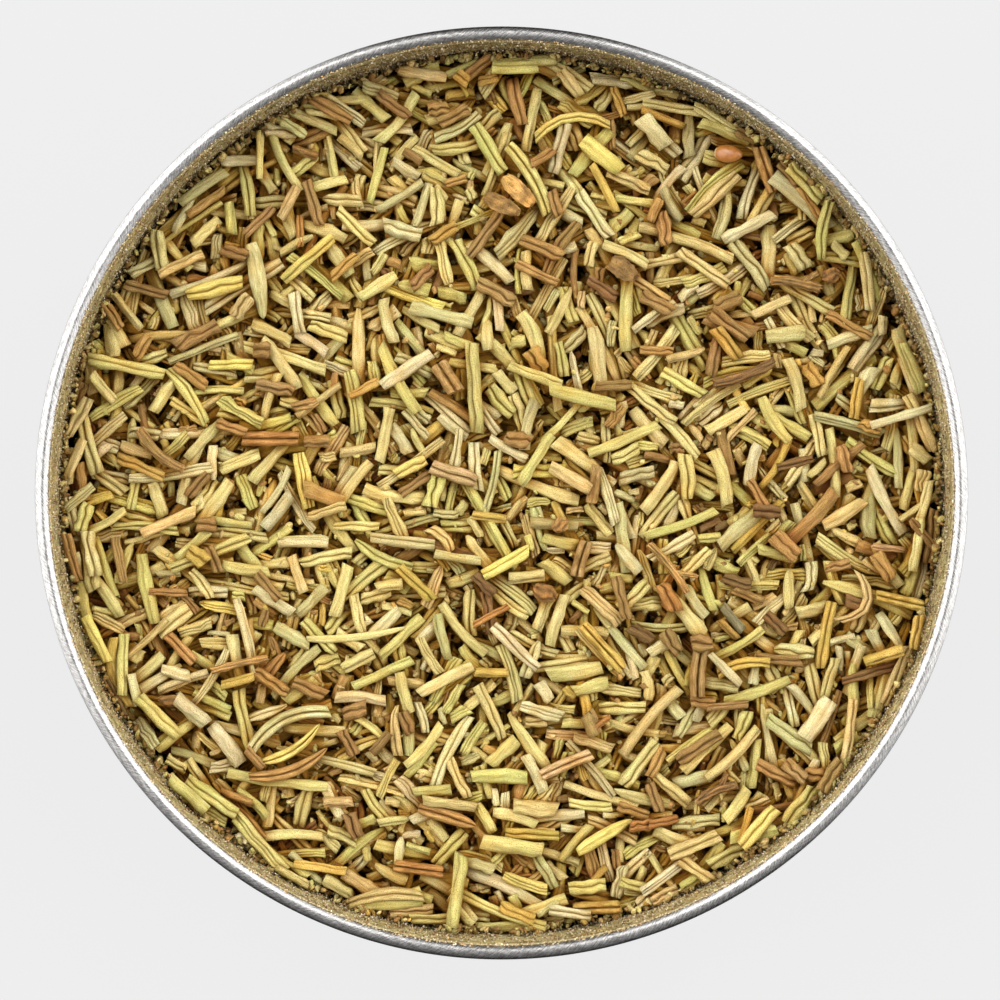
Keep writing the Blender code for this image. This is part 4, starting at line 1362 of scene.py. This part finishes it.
@dataclass
class LeafBed:
    """The loose leaves that show, over a packed core painted dark as the shade between them."""

    pile: Pile
    finishes: Finishes
    most_in_piece: int = 1000
    colour_spread: float = 0.06
    hue_spread: float = 0.025
    core_rings: int = 60
    core_turns: int = 180
    core_gap: float = 0.05 * MM
    core_drop: float = 0.5 * MM
    core_lumps: float = 0.25 * MM
    core_side: tuple = (10.0 * MM, 3.6 * MM, 1.4 * MM, 1.4 * MM)
    core_corner: float = 1.6 * MM
    core_hole: float = 1.0 * MM
    core_shade: float = 0.6

    @staticmethod
    def draw(rng: Draws, shares: dict, count: int) -> list:
        """Draws tones or sides by their shares."""
        choices = list(shares)
        return [choices[index] for index in drawn(rng, shares, count)]

    def build(self, shown: dict[int, tuple[Tone, Side]], standouts: set[int], rng: Draws) -> None:
        """Makes every leaf that shows, in pieces by their slot.

        Args:
            shown: The tone and side of the leaves that show by their colour, by their number.
            standouts: The numbers of the pieces that have meshes of their own.
            rng: Where tones, sides and small differences are drawn from.
        """
        lays = self.pile.lays
        leaf_tones = self.draw(rng, LEAF_TONES, len(lays))
        bit_tones = self.draw(rng, BIT_TONES, len(lays))
        sides = self.draw(rng, SIDES, len(lays))
        spread = np.exp(self.colour_spread * rng.standard_normal((len(lays), 1)))
        hue = np.exp(self.hue_spread * rng.standard_normal((len(lays), 3)))
        visible = self.pile.visible()
        by_slot: dict[Slot, list] = {}
        for number in np.flatnonzero(visible):
            if number in standouts:
                continue
            tone = bit_tones[number] if number in self.pile.bits else leaf_tones[number]
            side = sides[number]
            if number in shown:
                tone, side = shown[number]
            colour = tone.albedo * spread[number] * hue[number]
            by_slot.setdefault(slot_of_leaf(tone), []).append((lays[number], colour, side))
        form = CutLeaf(self.pile)
        for slot, rows in by_slot.items():
            for part, start in enumerate(range(0, len(rows), self.most_in_piece), start=1):
                some_lays, colours, some_sides = zip(*rows[start:start + self.most_in_piece])
                shape = form.shape(list(some_lays), np.array(colours), list(some_sides), rng)
                shape.show(f"{slot.value}_pile_{part}", self.finishes.of_leaf(slot), slot, "leaf_bed")

    def build_core(self, rng: Draws) -> Piece:
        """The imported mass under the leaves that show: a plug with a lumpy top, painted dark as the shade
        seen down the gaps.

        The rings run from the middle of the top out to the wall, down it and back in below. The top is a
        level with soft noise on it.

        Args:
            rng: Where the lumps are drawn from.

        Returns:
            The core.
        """
        radius = self.pile.bed_radius - self.core_gap
        turn = np.linspace(0, 2 * math.pi, self.core_turns + 1)
        out = np.linspace(self.core_hole, radius, self.core_rings)
        lumps = soft_noise(rng, (self.core_rings, self.core_turns), (0.8, 0.8))
        top = self.pile.base - self.core_drop + self.core_lumps * lumps
        low_radius = [radius, radius, radius - self.core_corner, self.core_hole]
        radii = np.concatenate([out, low_radius])[:, None]
        level = np.concatenate([top, np.repeat(np.array(self.core_side)[:, None], self.core_turns, 1)])
        rings = round_axis(radii, turn[:-1], level)[None, ::-1]
        # Painted shade: the core's colour is the darkest tone made darker still, standing for the shade deep
        # between the leaves
        dark = Tone.DARK.albedo * self.core_shade
        paint = np.broadcast_to(dark, rings.shape)
        grain = paired(radii * turn, radii)[None, ::-1] / MM
        shape = skin(rings, paint, np.broadcast_to(dark, (1, 2, 3)), grain, smooth_caps=True)
        return shape.show("packed_core", self.finishes.brown, Slot.DRIED_LEAF, "leaf_bed")


def put_on_bed(points: Array, lay: Lay, sunk: float = 0.15 * MM) -> Array:
    """Puts a piece made along X, with its underside at 0, where it lies, its underside pulled a bit lower.

    Args:
        points: The piece's points.
        lay: Where it lies.
        sunk: How much lower its underside is, with its top kept.

    Returns:
        The points in place.
    """
    u, v, w = points[..., 0], points[..., 1], points[..., 2]
    w = w * (lay.thickness + sunk) / lay.thickness - sunk
    slope = math.atan(lay.pitch)
    u, w = u * math.cos(slope) - w * math.sin(slope), u * math.sin(slope) + w * math.cos(slope)
    cos, sin = math.cos(lay.heading), math.sin(lay.heading)
    return np.stack([lay.x + u * cos - v * sin, lay.y + u * sin + v * cos, lay.z + w], -1)


def round_section(points: int) -> tuple[Array, Array, Array]:
    """A circle from the -Y side over the top: its angles, and its points across and up from -1 to 1."""
    angle = np.arange(points) * 2 * math.pi / points
    return angle, -np.cos(angle), np.sin(angle)


def finer_section(side: Side, points: int) -> tuple[Array, Array]:
    """A leaf's cross-section with more points, on a smooth closed curve through the given ones.

    Between two given points the curve is a cubic whose slopes there are half the step between their
    neighbours.

    Args:
        side: The side of the leaf that looks up.
        points: How many points it gets, a multiple of the given ones.

    Returns:
        The points as (points, 2), and the shade at each.
    """
    coarse = np.array(side.value, float)
    share = np.linspace(0, 1, points // len(coarse), endpoint=False)[None, :, None]
    before, start = np.roll(coarse, 1, 0)[:, None], coarse[:, None]
    end, after = np.roll(coarse, -1, 0)[:, None], np.roll(coarse, -2, 0)[:, None]
    curve = (start + 0.5 * share * (end - before)
             + share ** 2 * (before - 2.5 * start + 2 * end - 0.5 * after)
             + share ** 3 * (1.5 * (start - end) + 0.5 * (after - before)))
    curve = curve.reshape(-1, 3)
    return curve[:, :2], curve[:, 2].clip(0.3, 1.1)


@dataclass
class StandoutPieces:
    """The pieces that stand out on the bed, each a mesh of its own in place of its solid.

    Each maker takes what a piece is and where it lies, and gives its shape.
    """

    finishes: Finishes
    rng: Draws
    stations: int = 30
    points: int = 42
    grain_round: float = 3.0
    cut_shade: float = 1.15
    ragged_shade: float = 1.3

    def build(self, piece: Standout, lay: Lay) -> Piece:
        """Makes one piece where it lies, with the maker and finish of its form."""
        makers = {
            Form.NUTLET: (self.nutlet, self.finishes.seed, Slot.SEED),
            Form.BUD: (self.bud, self.finishes.bud, Slot.BUD),
            Form.TWIG: (self.twig, self.finishes.bark, Slot.TWIG),
            Form.FORK: (self.fork, self.finishes.bark, Slot.TWIG),
            Form.CHIP: (self.flake, self.finishes.wood, Slot.PALE_CHIP),
            Form.FLAKE: (self.flake, self.finishes.brown, Slot.BROWN_LEAF),
        }
        slot = slot_of_leaf(piece.tone)
        maker, finish, slot = makers.get(piece.form, (self.leaf, self.finishes.of_leaf(slot), slot))
        return maker(piece, lay).show(piece.name + "_look", finish, slot, piece.name)

    def noise(self, along: float, around: float) -> Array:
        """Soft noise at every point of a piece, blurred by so many points along and around it."""
        return soft_noise(self.rng, (self.stations, self.points), (along, around))

    def grain(self, along: Array, around: float) -> Array:
        """The grain's place for rings at these places along a piece of this size around, in metres."""
        spread = np.linspace(0, around, self.points + 1)
        start = self.rng.uniform(0, GRAIN_FIELD, 2)
        return (paired(along[:, None], spread[None, :]) / MM + start)[None]

    def skinned(self, rings: Array, paint: Array, lay: Lay, smooth_caps: bool = False) -> Shape:
        """Skins one piece's rings where it lies.

        Args:
            rings: Its points, along X with the underside at 0.
            paint: The colour at each point.
            lay: Where it lies.
            smooth_caps: Whether its ends are round.

        Returns:
            The piece.
        """
        shade = 1.0 if smooth_caps else self.cut_shade
        ends = np.stack([paint[0].mean(0), paint[-1].mean(0)])[None] * shade
        grain = self.grain(rings[:, 0, 0], self.grain_round * lay.width)
        return skin(put_on_bed(rings, lay)[None], paint[None], ends, grain, smooth_caps=smooth_caps)

    def leaf(self, piece: Standout, lay: Lay) -> Shape:
        """A cut leaf at full detail.

        Its half width is 1 along most of it, a little less at a cut end, and falls as a quarter circle to a
        tip. Soft noise makes the surface wrinkled and the edges uneven.
        """
        section, shade = finer_section(piece.side, self.points)
        s = np.linspace(-0.5, 0.5, self.stations)
        wide = 1 - 0.1 * (2 * np.abs(s)) ** 8
        tall = np.ones_like(s)
        if lay.tip:
            run = ((s + 0.05) / 0.55).clip(0, 1)
            wide = wide * (1 - run ** 2) ** 0.55 * 0.94 + 0.06
            wide = wide * (1 - 0.3 * ((-0.3 - s) / 0.2).clip(0, 1))
            tall = 0.35 + 0.65 * (1 - run ** 3)
        wrinkle = self.noise(1.0, 1.3)
        uneven = soft_noise(self.rng, (self.stations, 2), (2.5, 0.0))
        across = section[:, 0][None] * (wide * (1 + 0.04 * uneven[:, 0]))[:, None] * lay.width / 2
        up = section[:, 1][None] * (tall * (1 + 0.05 * uneven[:, 1]))[:, None] * lay.thickness
        up = up + 0.022 * MM * wrinkle * (section[:, 1] > 0.2)
        along = np.broadcast_to(s[:, None] * lay.length, across.shape)
        slant = np.zeros((self.stations, 1))
        slant[0], slant[-1] = self.rng.uniform(-0.3, 0.3, 2)
        along = along + slant * across
        across = across + bow_offset(along, lay.length, lay.bow)
        rings = np.stack([along, across, up.clip(0, None)], -1)
        # Painted shade from the cross-section, lighter where the wrinkles raise the top, which is painted
        # light, and a little lighter or darker along the leaf
        bright = shade[None] * (1 + 0.1 * wrinkle + 0.08 * uneven[:, :1])
        paint = piece.tone.albedo * bright[..., None].clip(0.25, 1.4) ** BROWNING
        return self.skinned(rings, paint, lay)

    def rod(self, tone: Tone, start: Array, end: Array, radii: Pair, bow: float,
            lay: Lay, knots: int) -> Shape:
        """A ridged stem from one point to another.

        The radius passes from the first to the second, swells at each knot as a narrow bump, and has six
        ridges that wander a little. The ends are ragged.

        Args:
            tone: Its colour.
            start: Where it starts, on the piece's own axes.
            end: Where it ends.
            radii: Its radius at each end.
            bow: How far its middle stands off its chord.
            lay: Where the whole piece lies.
            knots: How many knots it has.

        Returns:
            The stem.
        """
        s = np.linspace(0, 1, self.stations)
        angle, side, top = round_section(self.points)
        radius = radii[0] + (radii[1] - radii[0]) * s
        for knot in range(knots):
            centre = (knot + 0.35 + 0.3 * self.rng.random()) / knots
            radius = radius * (1 + 0.24 * np.exp(-((s - centre) / 0.05) ** 2))
        wander = 0.6 * soft_noise(self.rng, (self.stations, 1), (4.0, 0.0))
        bark = self.noise(2.0, 0.8)
        ridges = np.cos(6 * angle[None] + wander)
        size = radius[:, None] * (1 + 0.07 * ridges + 0.05 * bark - 0.06)
        direction = end - start
        aside = np.array([-direction[1], direction[0], 0]) / np.linalg.norm(direction[:2])
        line = start + s[:, None] * direction + (bow * 4 * s * (1 - s))[:, None] * aside
        ragged = np.zeros((self.stations, self.points))
        ragged[0] = 0.25 * radii[0] * self.rng.standard_normal(self.points)
        ragged[-1] = 0.25 * radii[1] * self.rng.standard_normal(self.points)
        ahead = direction / np.linalg.norm(direction)
        rings = (line[:, None] + (size * side)[..., None] * aside + ragged[..., None] * ahead
                 + (size * top)[..., None] * np.array([0, 0, 1.0]))
        # Painted light and shade: lighter on the ridges and where the bark swells, darker between them
        bright = (0.95 + 0.28 * ridges + 0.2 * bark)[..., None].clip(0.35, 1.7)
        paint = np.broadcast_to(tone.albedo, rings.shape) * bright
        ends = np.stack([paint[0].mean(0), paint[-1].mean(0)])[None] * self.ragged_shade
        grain = self.grain(s * np.linalg.norm(direction), 2 * math.pi * radii[0])
        return skin(put_on_bed(rings, lay)[None], paint[None], ends, grain)

    def twig(self, piece: Standout, lay: Lay) -> Shape:
        """A bit of stem with two knots."""
        level = lay.thickness / 2
        ends = [np.array([side * lay.length, 0, level]) for side in (-0.5, 0.5)]
        half = lay.width / 2
        return self.rod(piece.tone, *ends, (0.92 * half, 0.85 * half), lay.bow, lay, 2)

    def fork(self, piece: Standout, lay: Lay) -> Shape:
        """A bit of stem with a side shoot that leaves it at its middle."""
        stem = self.twig(piece, lay)
        reach = 0.4 * lay.length
        level = lay.thickness / 2
        start = np.array([0.1 * lay.length, bow_offset(0.1 * lay.length, lay.length, lay.bow), level])
        end = start + np.array([0.75 * reach, 0.65 * reach, 0.0])
        half = 0.35 * lay.width
        shoot = self.rod(piece.tone, start, end, (half, 0.75 * half), 0.0, lay, 1)
        return Shape.joined([stem, shoot])

    def nutlet(self, piece: Standout, lay: Lay) -> Shape:
        """A seed: an egg, fuller at its left end, where a raised cream ring goes round a dark scar.

        A ring of the egg is at minus the cosine of its angle from the left pole, with the sine as radius.
        """
        pole = np.linspace(0.06, math.pi - 0.05, self.stations)
        angle, side, top = round_section(self.points)
        along = -np.cos(pole) / 2
        narrow = 1.0 - 0.36 * along
        scar = np.exp(-((pole - 0.42) / 0.13) ** 2)
        pit = np.exp(-(pole / 0.25) ** 2)
        radius = np.sin(pole) * narrow / 1.18 * (1 + 0.05 * scar)
        lengthwise = (along + 0.04 * pit - 0.012 * scar) * lay.length
        keel = 1 + 0.03 * np.cos(3 * angle[None] + 1.0) * np.sin(pole[:, None])
        across = radius[:, None] * side * keel * lay.width * 1.18 / 2
        up = (radius[:, None] * top * keel * lay.thickness + lay.thickness) / 2
        rings = np.stack([np.broadcast_to(lengthwise[:, None], across.shape), across, up], -1)
        skin_colour = piece.tone.albedo * np.array([1.0, 0.85, 0.7])
        cream = Tone.WOOD.albedo * np.array([0.95, 0.85, 0.7])
        dark = Tone.DARK.albedo * 0.6
        colour = skin_colour + scar[:, None] * (cream - skin_colour)
        colour = colour + pit[:, None] * (dark - colour)
        paint = np.broadcast_to(colour[:, None], rings.shape)
        return self.skinned(rings, paint, lay, smooth_caps=True)

    def bud(self, piece: Standout, lay: Lay) -> Shape:
        """A wrinkled bud or crumb of flower: a squashed ball whose radius has five folds and soft noise."""
        pole = np.linspace(0.12, math.pi - 0.12, self.stations)
        angle, side, top = round_section(self.points)
        lumps = self.noise(2.2, 2.2)
        fine = self.noise(0.9, 0.9)
        folds = np.cos(5 * angle[None] + 1.5 * np.sin(2 * pole[:, None]))
        size = (0.92 + 0.07 * folds + 0.07 * lumps + 0.03 * fine).clip(0.7, 1.08)
        along = -np.cos(pole)[:, None] * size * lay.length / 2
        across = np.sin(pole)[:, None] * side * size * lay.width / 2
        up = lay.thickness / 2 * (1 + np.sin(pole)[:, None] * top * size)
        rings = np.stack([along, across, up], -1)
        red = Tone.ORANGE.albedo * 0.8
        share = (0.25 + 0.3 * lumps)[..., None].clip(0, 0.75)
        # The red share is the bud's own colour; lighter on the folds' crests and the fine lumps and darker
        # between them is painted light and shade
        paint = (piece.tone.albedo * (1 - share) + red * share) * (1 + 0.3 * folds + 0.15 * fine)[..., None]
        return self.skinned(rings, paint.clip(0.01, 1), lay, smooth_caps=True)

    def flake(self, piece: Standout, lay: Lay) -> Shape:
        """A flake or chip: a thin plate with a torn outline, curled across, with a vein along its middle."""
        s = np.linspace(-0.5, 0.5, self.stations)
        angle, side, top = round_section(self.points)
        flat_side = np.sign(side) * np.abs(side) ** 0.6
        flat_top = np.sign(top) * np.abs(top) ** 0.6
        torn = self.noise(1.4, 1.4)
        wave = self.noise(4.0, 5.0)
        wide = (1 - (2 * np.abs(s)) ** 3 * 0.45) * (1 - 0.18 * (s + 0.5))
        across = flat_side[None] * wide[:, None] * lay.width / 2 * (1 + 0.05 * torn)
        curl = 0.3 * (flat_side[None] ** 2) * lay.thickness
        vein = 0.2 * np.exp(-(side[None] / 0.16) ** 2) * lay.thickness
        plate = (flat_top + 1) / 2 * 0.62 * lay.thickness
        up = plate + curl + vein * (top > 0) + 0.05 * wave * lay.thickness
        along = s[:, None] * lay.length + 0.12 * MM * torn * (2 * np.abs(s[:, None])) ** 4
        rings = np.stack([along + 0 * across, across, up.clip(0, lay.thickness)], -1)
        # Lighter where the wave lifts the surface: painted light
        bright = (0.95 + 0.18 * torn + 0.18 * wave + 0.2 * np.exp(-(side[None] / 0.16) ** 2))[..., None]
        paint = piece.tone.albedo * bright.clip(0.35, 1.6)
        return self.skinned(rings, paint, lay)


@dataclass
class Grains:
    """Crumbs between the leaves and dust grains on the wall: small lumps of a few faces each."""

    pile: Pile
    tin: Tin
    finishes: Finishes
    rng: Draws
    crumbs: int = 2200
    crumb_tries: int = 7
    crumb_sizes: Pair = (0.3 * MM, 0.9 * MM)
    wall_crumbs: int = 2000
    crumb_profile: tuple = ((-0.5, 0.2), (-0.22, 0.42), (0.2, 0.38), (0.5, 0.16))
    grain_profile: tuple = ((-0.45, 0.2), (0.0, 0.45), (0.45, 0.18))
    wall_grains: int = 9000
    wall_pieces: int = 2
    grain_sizes: Pair = (0.1 * MM, 0.26 * MM)
    grain_depth: float = 0.35 * MM
    grain_low: float = 20.5 * MM
    greyer: Triple = (0.97, 0.97, 1.35)
    shoulder_share: float = 0.17
    shoulder_climb: float = math.radians(48)
    # Painted light on the grains of the rim's shoulder, painted shade on the crumbs and grains by the wall
    shoulder_painted_light: float = 1.2
    wall_painted_shade: float = 0.9
    crumb_points: int = 6
    grain_points: int = 4
    crumb_gap: float = 0.4 * MM
    wall_gap: Pair = (0.25 * MM, 0.9 * MM)
    beside: float = 0.98
    below_crest: float = 1.2 * MM
    colour_spread: float = 0.15

    def lumps(self, centres: Array, sizes: Array, tones: Array, profile: tuple, points: int) -> Shape:
        """Lumps of a few rings, each ring's radius uneven, and each lump turned its own way.

        Args:
            centres: Their middles.
            sizes: How long each is.
            tones: Their colours.
            profile: The place and radius of each ring, as shares of the size.
            points: How many points a ring has.

        Returns:
            All the lumps as one shape.
        """
        count = len(centres)
        _, side, top = round_section(points)
        along, radii = np.array(profile).T
        rings = len(along)
        radii = radii * (1 + 0.2 * self.rng.standard_normal((count, rings)))
        slim = self.rng.uniform(0.55, 1.0, (count, 1, 1))
        local = paired(along[None, :, None], radii[..., None] * side * slim, radii[..., None] * top * slim)
        local = local + 0.05 * self.rng.standard_normal(local.shape)
        turn, lift = self.rng.uniform(0, 2 * math.pi, count), self.rng.normal(0, 0.35, count)
        ahead = np.stack([np.cos(turn) * np.cos(lift), np.sin(turn) * np.cos(lift), np.sin(lift)], -1)
        aside = np.stack([-np.sin(turn), np.cos(turn), 0 * turn], -1)
        axes = np.stack([ahead, aside, np.cross(ahead, aside)], 1)
        turned = np.einsum("nskc,ncd->nskd", local, axes) * sizes[:, None, None, None]
        places = centres[:, None, None] + turned
        shade = self.colour_spread * self.rng.standard_normal((count, rings, points, 1))
        paint = tones[:, None, None] * (1 + shade)
        start = self.rng.uniform(0, GRAIN_FIELD, (count, 1, 1, 2))
        place = paired(along[:, None], np.linspace(0, 1.5, points + 1)[None])
        grain = start + place[None] * (sizes / MM)[:, None, None, None]
        return skin(places, paint.clip(0.01, 1), tones[:, None].repeat(2, 1), grain, smooth_caps=True)

    def tones(self, count: int, shares: dict[Tone, float]) -> Array:
        """Colours drawn by their shares, each a little lighter or darker."""
        colours = np.array([tone.albedo for tone in shares])[drawn(self.rng, shares, count)]
        return colours * np.exp(self.colour_spread * self.rng.standard_normal((count, 1)))

    def build_crumbs(self) -> Piece:
        """Crumbs, each on the lowest of a few random places."""
        tries = (self.crumbs, self.crumb_tries)
        distance = (self.pile.bed_radius - self.crumb_gap) * np.sqrt(self.rng.random(tries))
        places = round_axis(distance, self.rng.random(tries) * 2 * math.pi)
        level = self.pile.level_at(places)
        lowest = (np.arange(self.crumbs), level.argmin(1))
        sizes = self.rng.uniform(*self.crumb_sizes, self.crumbs)
        centres = paired(*places[lowest].T, level[lowest] + 0.05 * sizes)
        tones = self.tones(self.crumbs, CRUMB_TONES)
        shape = self.lumps(centres, sizes, tones, self.crumb_profile, self.crumb_points)
        return shape.show("crumbs", self.finishes.brown, Slot.BROWN_LEAF)

    def build_wall_crumbs(self) -> Piece:
        """Crumbs that fill the gap between the leaves and the wall, each below the crests beside it."""
        turn = self.rng.uniform(0, 2 * math.pi, self.wall_crumbs)
        radius = self.pile.inner_radius - self.rng.uniform(*self.wall_gap, self.wall_crumbs)
        x, y = radius * np.cos(turn), radius * np.sin(turn)
        crest = self.pile.crest(self.beside * x, self.beside * y)
        level = crest - self.rng.uniform(0.0, self.below_crest, self.wall_crumbs)
        sizes = self.rng.uniform(*self.crumb_sizes, self.wall_crumbs)
        # Painted shade: crumbs in the gap by the wall are darkened
        tones = self.wall_painted_shade * self.tones(self.wall_crumbs, CRUMB_TONES)
        shape = self.lumps(paired(x, y, level), sizes, tones, self.crumb_profile, self.crumb_points)
        return shape.show("wall_crumbs", self.finishes.brown, Slot.BROWN_LEAF)

    def build_wall_grains(self) -> None:
        """Grains that cling to the wall and to the inner shoulder of the rolled rim.

        A grain's angle on the shoulder goes up from level, and the radius falls short of the curl's middle by
        the cosine of that angle.
        """
        for part in range(1, self.wall_pieces + 1):
            turn = self.rng.uniform(0, 2 * math.pi, self.wall_grains)
            sizes = self.rng.uniform(*self.grain_sizes, self.wall_grains)
            level = self.rng.uniform(self.grain_low, self.tin.dust_top, self.wall_grains)
            radius = self.tin.inner_radius - self.grain_depth * self.rng.random(self.wall_grains) ** 2
            climb = self.rng.uniform(0, self.shoulder_climb, self.wall_grains)
            curl = self.tin.curl_radius + self.tin.sheet / 2
            on_curl = self.rng.random(self.wall_grains) < self.shoulder_share
            level = np.where(on_curl, self.tin.curl_level + curl * np.sin(climb), level)
            radius = np.where(on_curl, self.tin.curl_centre - curl * np.cos(climb), radius - 0.2 * sizes)
            centres = round_axis(radius, turn, level)
            tones = self.tones(self.wall_grains, DUST_TONES) * np.array(self.greyer)
            # Painted light and shade: grains on the rim's shoulder are lightened, grains on the wall darkened
            tones = tones * np.where(on_curl, self.shoulder_painted_light, self.wall_painted_shade)[:, None]
            shape = self.lumps(centres, sizes, tones, self.grain_profile, self.grain_points)
            shape.show(f"wall_grains_{part}", self.finishes.dust, Slot.DRIED_LEAF)


# The studio

@dataclass
class Studio:
    """A pale floor, soft light from the picture's upper left and right, and the camera above."""

    camera_place: Triple = (-0.145 * MM, -0.68 * MM, 355.0 * MM)
    lens: float = 120.9
    floor_size: float = 8.0
    floor_colour: Triple = (235, 235, 235)
    floor_base: Triple = (0.04, 0.04, 0.04)
    floor_glow: float = 0.95
    sky: float = 0.5
    sky_fall: float = -0.34
    ground: float = 0.05
    horizon: Pair = (-0.1, 0.1)
    box: float = 2.35
    box_low: Pair = (math.radians(-52), math.radians(-4))
    box_high: Pair = (math.radians(54), math.radians(76))
    box_top: Pair = (math.cos(math.radians(19)), math.cos(math.radians(11)))
    box_foot: Pair = (-0.93, -0.6)
    core: float = 2.4
    core_way: Triple = (0.43, 0.513, 0.743)
    core_edge: Pair = (math.cos(math.radians(25)), math.cos(math.radians(10)))

    def build(self) -> None:
        """Sets up the floor, the world that gives the light, and the camera."""
        scene = bpy.context.scene
        scene.view_settings.view_transform = "Standard"
        half = self.floor_size / 2
        mesh = bpy.data.meshes.new("floor")
        mesh.from_pydata([(-half, -half, 0), (half, -half, 0), (half, half, 0), (-half, half, 0)], [],
                         [(0, 1, 2, 3)])
        floor = bpy.data.objects.new("floor", mesh)
        scene.collection.objects.link(floor)
        mesh.materials.append(self.floor_finish())
        floor.visible_glossy = False
        scene.world = self.surroundings()
        camera = bpy.data.cameras.new("camera")
        camera.lens = self.lens
        camera.sensor_width = 36.0
        camera.clip_start = 0.01
        holder = bpy.data.objects.new("camera", camera)
        holder.location = self.camera_place
        scene.collection.objects.link(holder)
        scene.camera = holder
        LOG.info("studio: floor, surroundings and the camera")

    def surroundings(self) -> bpy.types.World:
        """The light: a dim grey sky with two big soft boxes, towards the picture's upper left and right.

        The boxes mirror each other, so the side is taken without its sign. A box is the product of smooth
        steps in the angle round the axis and in height, and its core one in the angle from its middle.

        Returns:
            The world.
        """
        world = bpy.data.worlds.new("studio")
        world.use_nodes = True
        tree = world.node_tree

        def operate(operation: str, *values: object) -> Socket:
            """An operation on sockets and numbers."""
            made = tree.nodes.new("ShaderNodeMath")
            made.operation = operation
            for value, target in zip(values, made.inputs):
                if isinstance(value, float):
                    target.default_value = value
                else:
                    tree.links.new(value, target)
            return made.outputs["Value"]

        def step(value: Socket, edges: Pair, falls: bool = False) -> Socket:
            """A smooth step of a value between two edges, from 0 to 1 or falling from 1 to 0."""
            made = tree.nodes.new("ShaderNodeMapRange")
            made.interpolation_type = "SMOOTHSTEP"
            made.inputs["From Min"].default_value, made.inputs["From Max"].default_value = edges
            made.inputs["To Min"].default_value = float(falls)
            made.inputs["To Max"].default_value = float(not falls)
            tree.links.new(value, made.inputs["Value"])
            return made.outputs["Result"]

        source = tree.nodes.new("ShaderNodeTexCoord")
        split = tree.nodes.new("ShaderNodeSeparateXYZ")
        tree.links.new(source.outputs["Generated"], split.inputs["Vector"])
        aside = operate("ABSOLUTE", split.outputs["X"])
        ahead, up = split.outputs["Y"], split.outputs["Z"]
        angle = operate("ARCTAN2", ahead, aside)
        spread = operate("MULTIPLY", step(angle, self.box_low), step(angle, self.box_high, True))
        rise = operate("MULTIPLY", step(up, self.box_top, True), step(up, self.box_foot))
        box = operate("MULTIPLY", operate("MULTIPLY", spread, rise), self.box)
        x, y, z = self.core_way
        upright = operate("MULTIPLY_ADD", ahead, y, operate("MULTIPLY", up, z))
        along = operate("MULTIPLY_ADD", aside, x, upright)
        core = operate("MULTIPLY", step(along, self.core_edge), self.core)
        dim = operate("MULTIPLY_ADD", operate("ABSOLUTE", ahead), self.sky_fall, self.sky)
        sky = operate("MULTIPLY_ADD", step(up, self.horizon), dim, self.ground)
        total = operate("ADD", sky, operate("ADD", box, core))
        tree.links.new(total, tree.nodes["Background"].inputs["Color"])
        return world

    def floor_finish(self) -> Material:
        """The floor's even pale grey: mostly its own light, so that hardly a shadow shows."""
        graph = Graph("floor")
        graph.fix(Base_Color=(*self.floor_base, 1.0), Roughness=1.0, Specular_IOR_Level=0.0,
                  Emission_Color=(*linear(self.floor_colour), 1.0), Emission_Strength=self.floor_glow)
        return graph.material


def main() -> None:
    """Builds the tin, the herb and the studio."""
    logging.basicConfig(level=logging.INFO, format="%(message)s", stream=sys.stdout)
    finishes = Finishes()
    tin = Tin()
    tin.build_shell(finishes)
    tin.build_dust_coat(finishes, Seed.DUST.draws())
    pile = Pile(tin.inner_radius)
    pile.fill()
    LOG.info("leaves laid: %d", len(pile.lays))
    makers = StandoutPieces(finishes, Seed.STANDOUTS.draws())
    standouts = set()
    for piece in STANDOUTS:
        standouts.add(len(pile.lays))
        makers.build(piece, pile.lay_standout(piece))
    rng = Seed.SHOWN.draws()
    pile.line_wall(rng)
    shown = {}
    for tone, side, rows in SHOWN:
        for row in rows:
            shown[len(pile.lays)] = (tone, side)
            pile.lay_shown(row, rng)
    pile.mark_crests()
    bed = LeafBed(pile, finishes)
    bed.build(shown, standouts, Seed.LEAVES.draws())
    bed.build_core(Seed.CORE.draws())
    grains = Grains(pile, tin, finishes, Seed.GRAINS.draws())
    grains.build_crumbs()
    grains.build_wall_crumbs()
    grains.build_wall_grains()
    Studio().build()


if __name__ == "__main__":
    main()
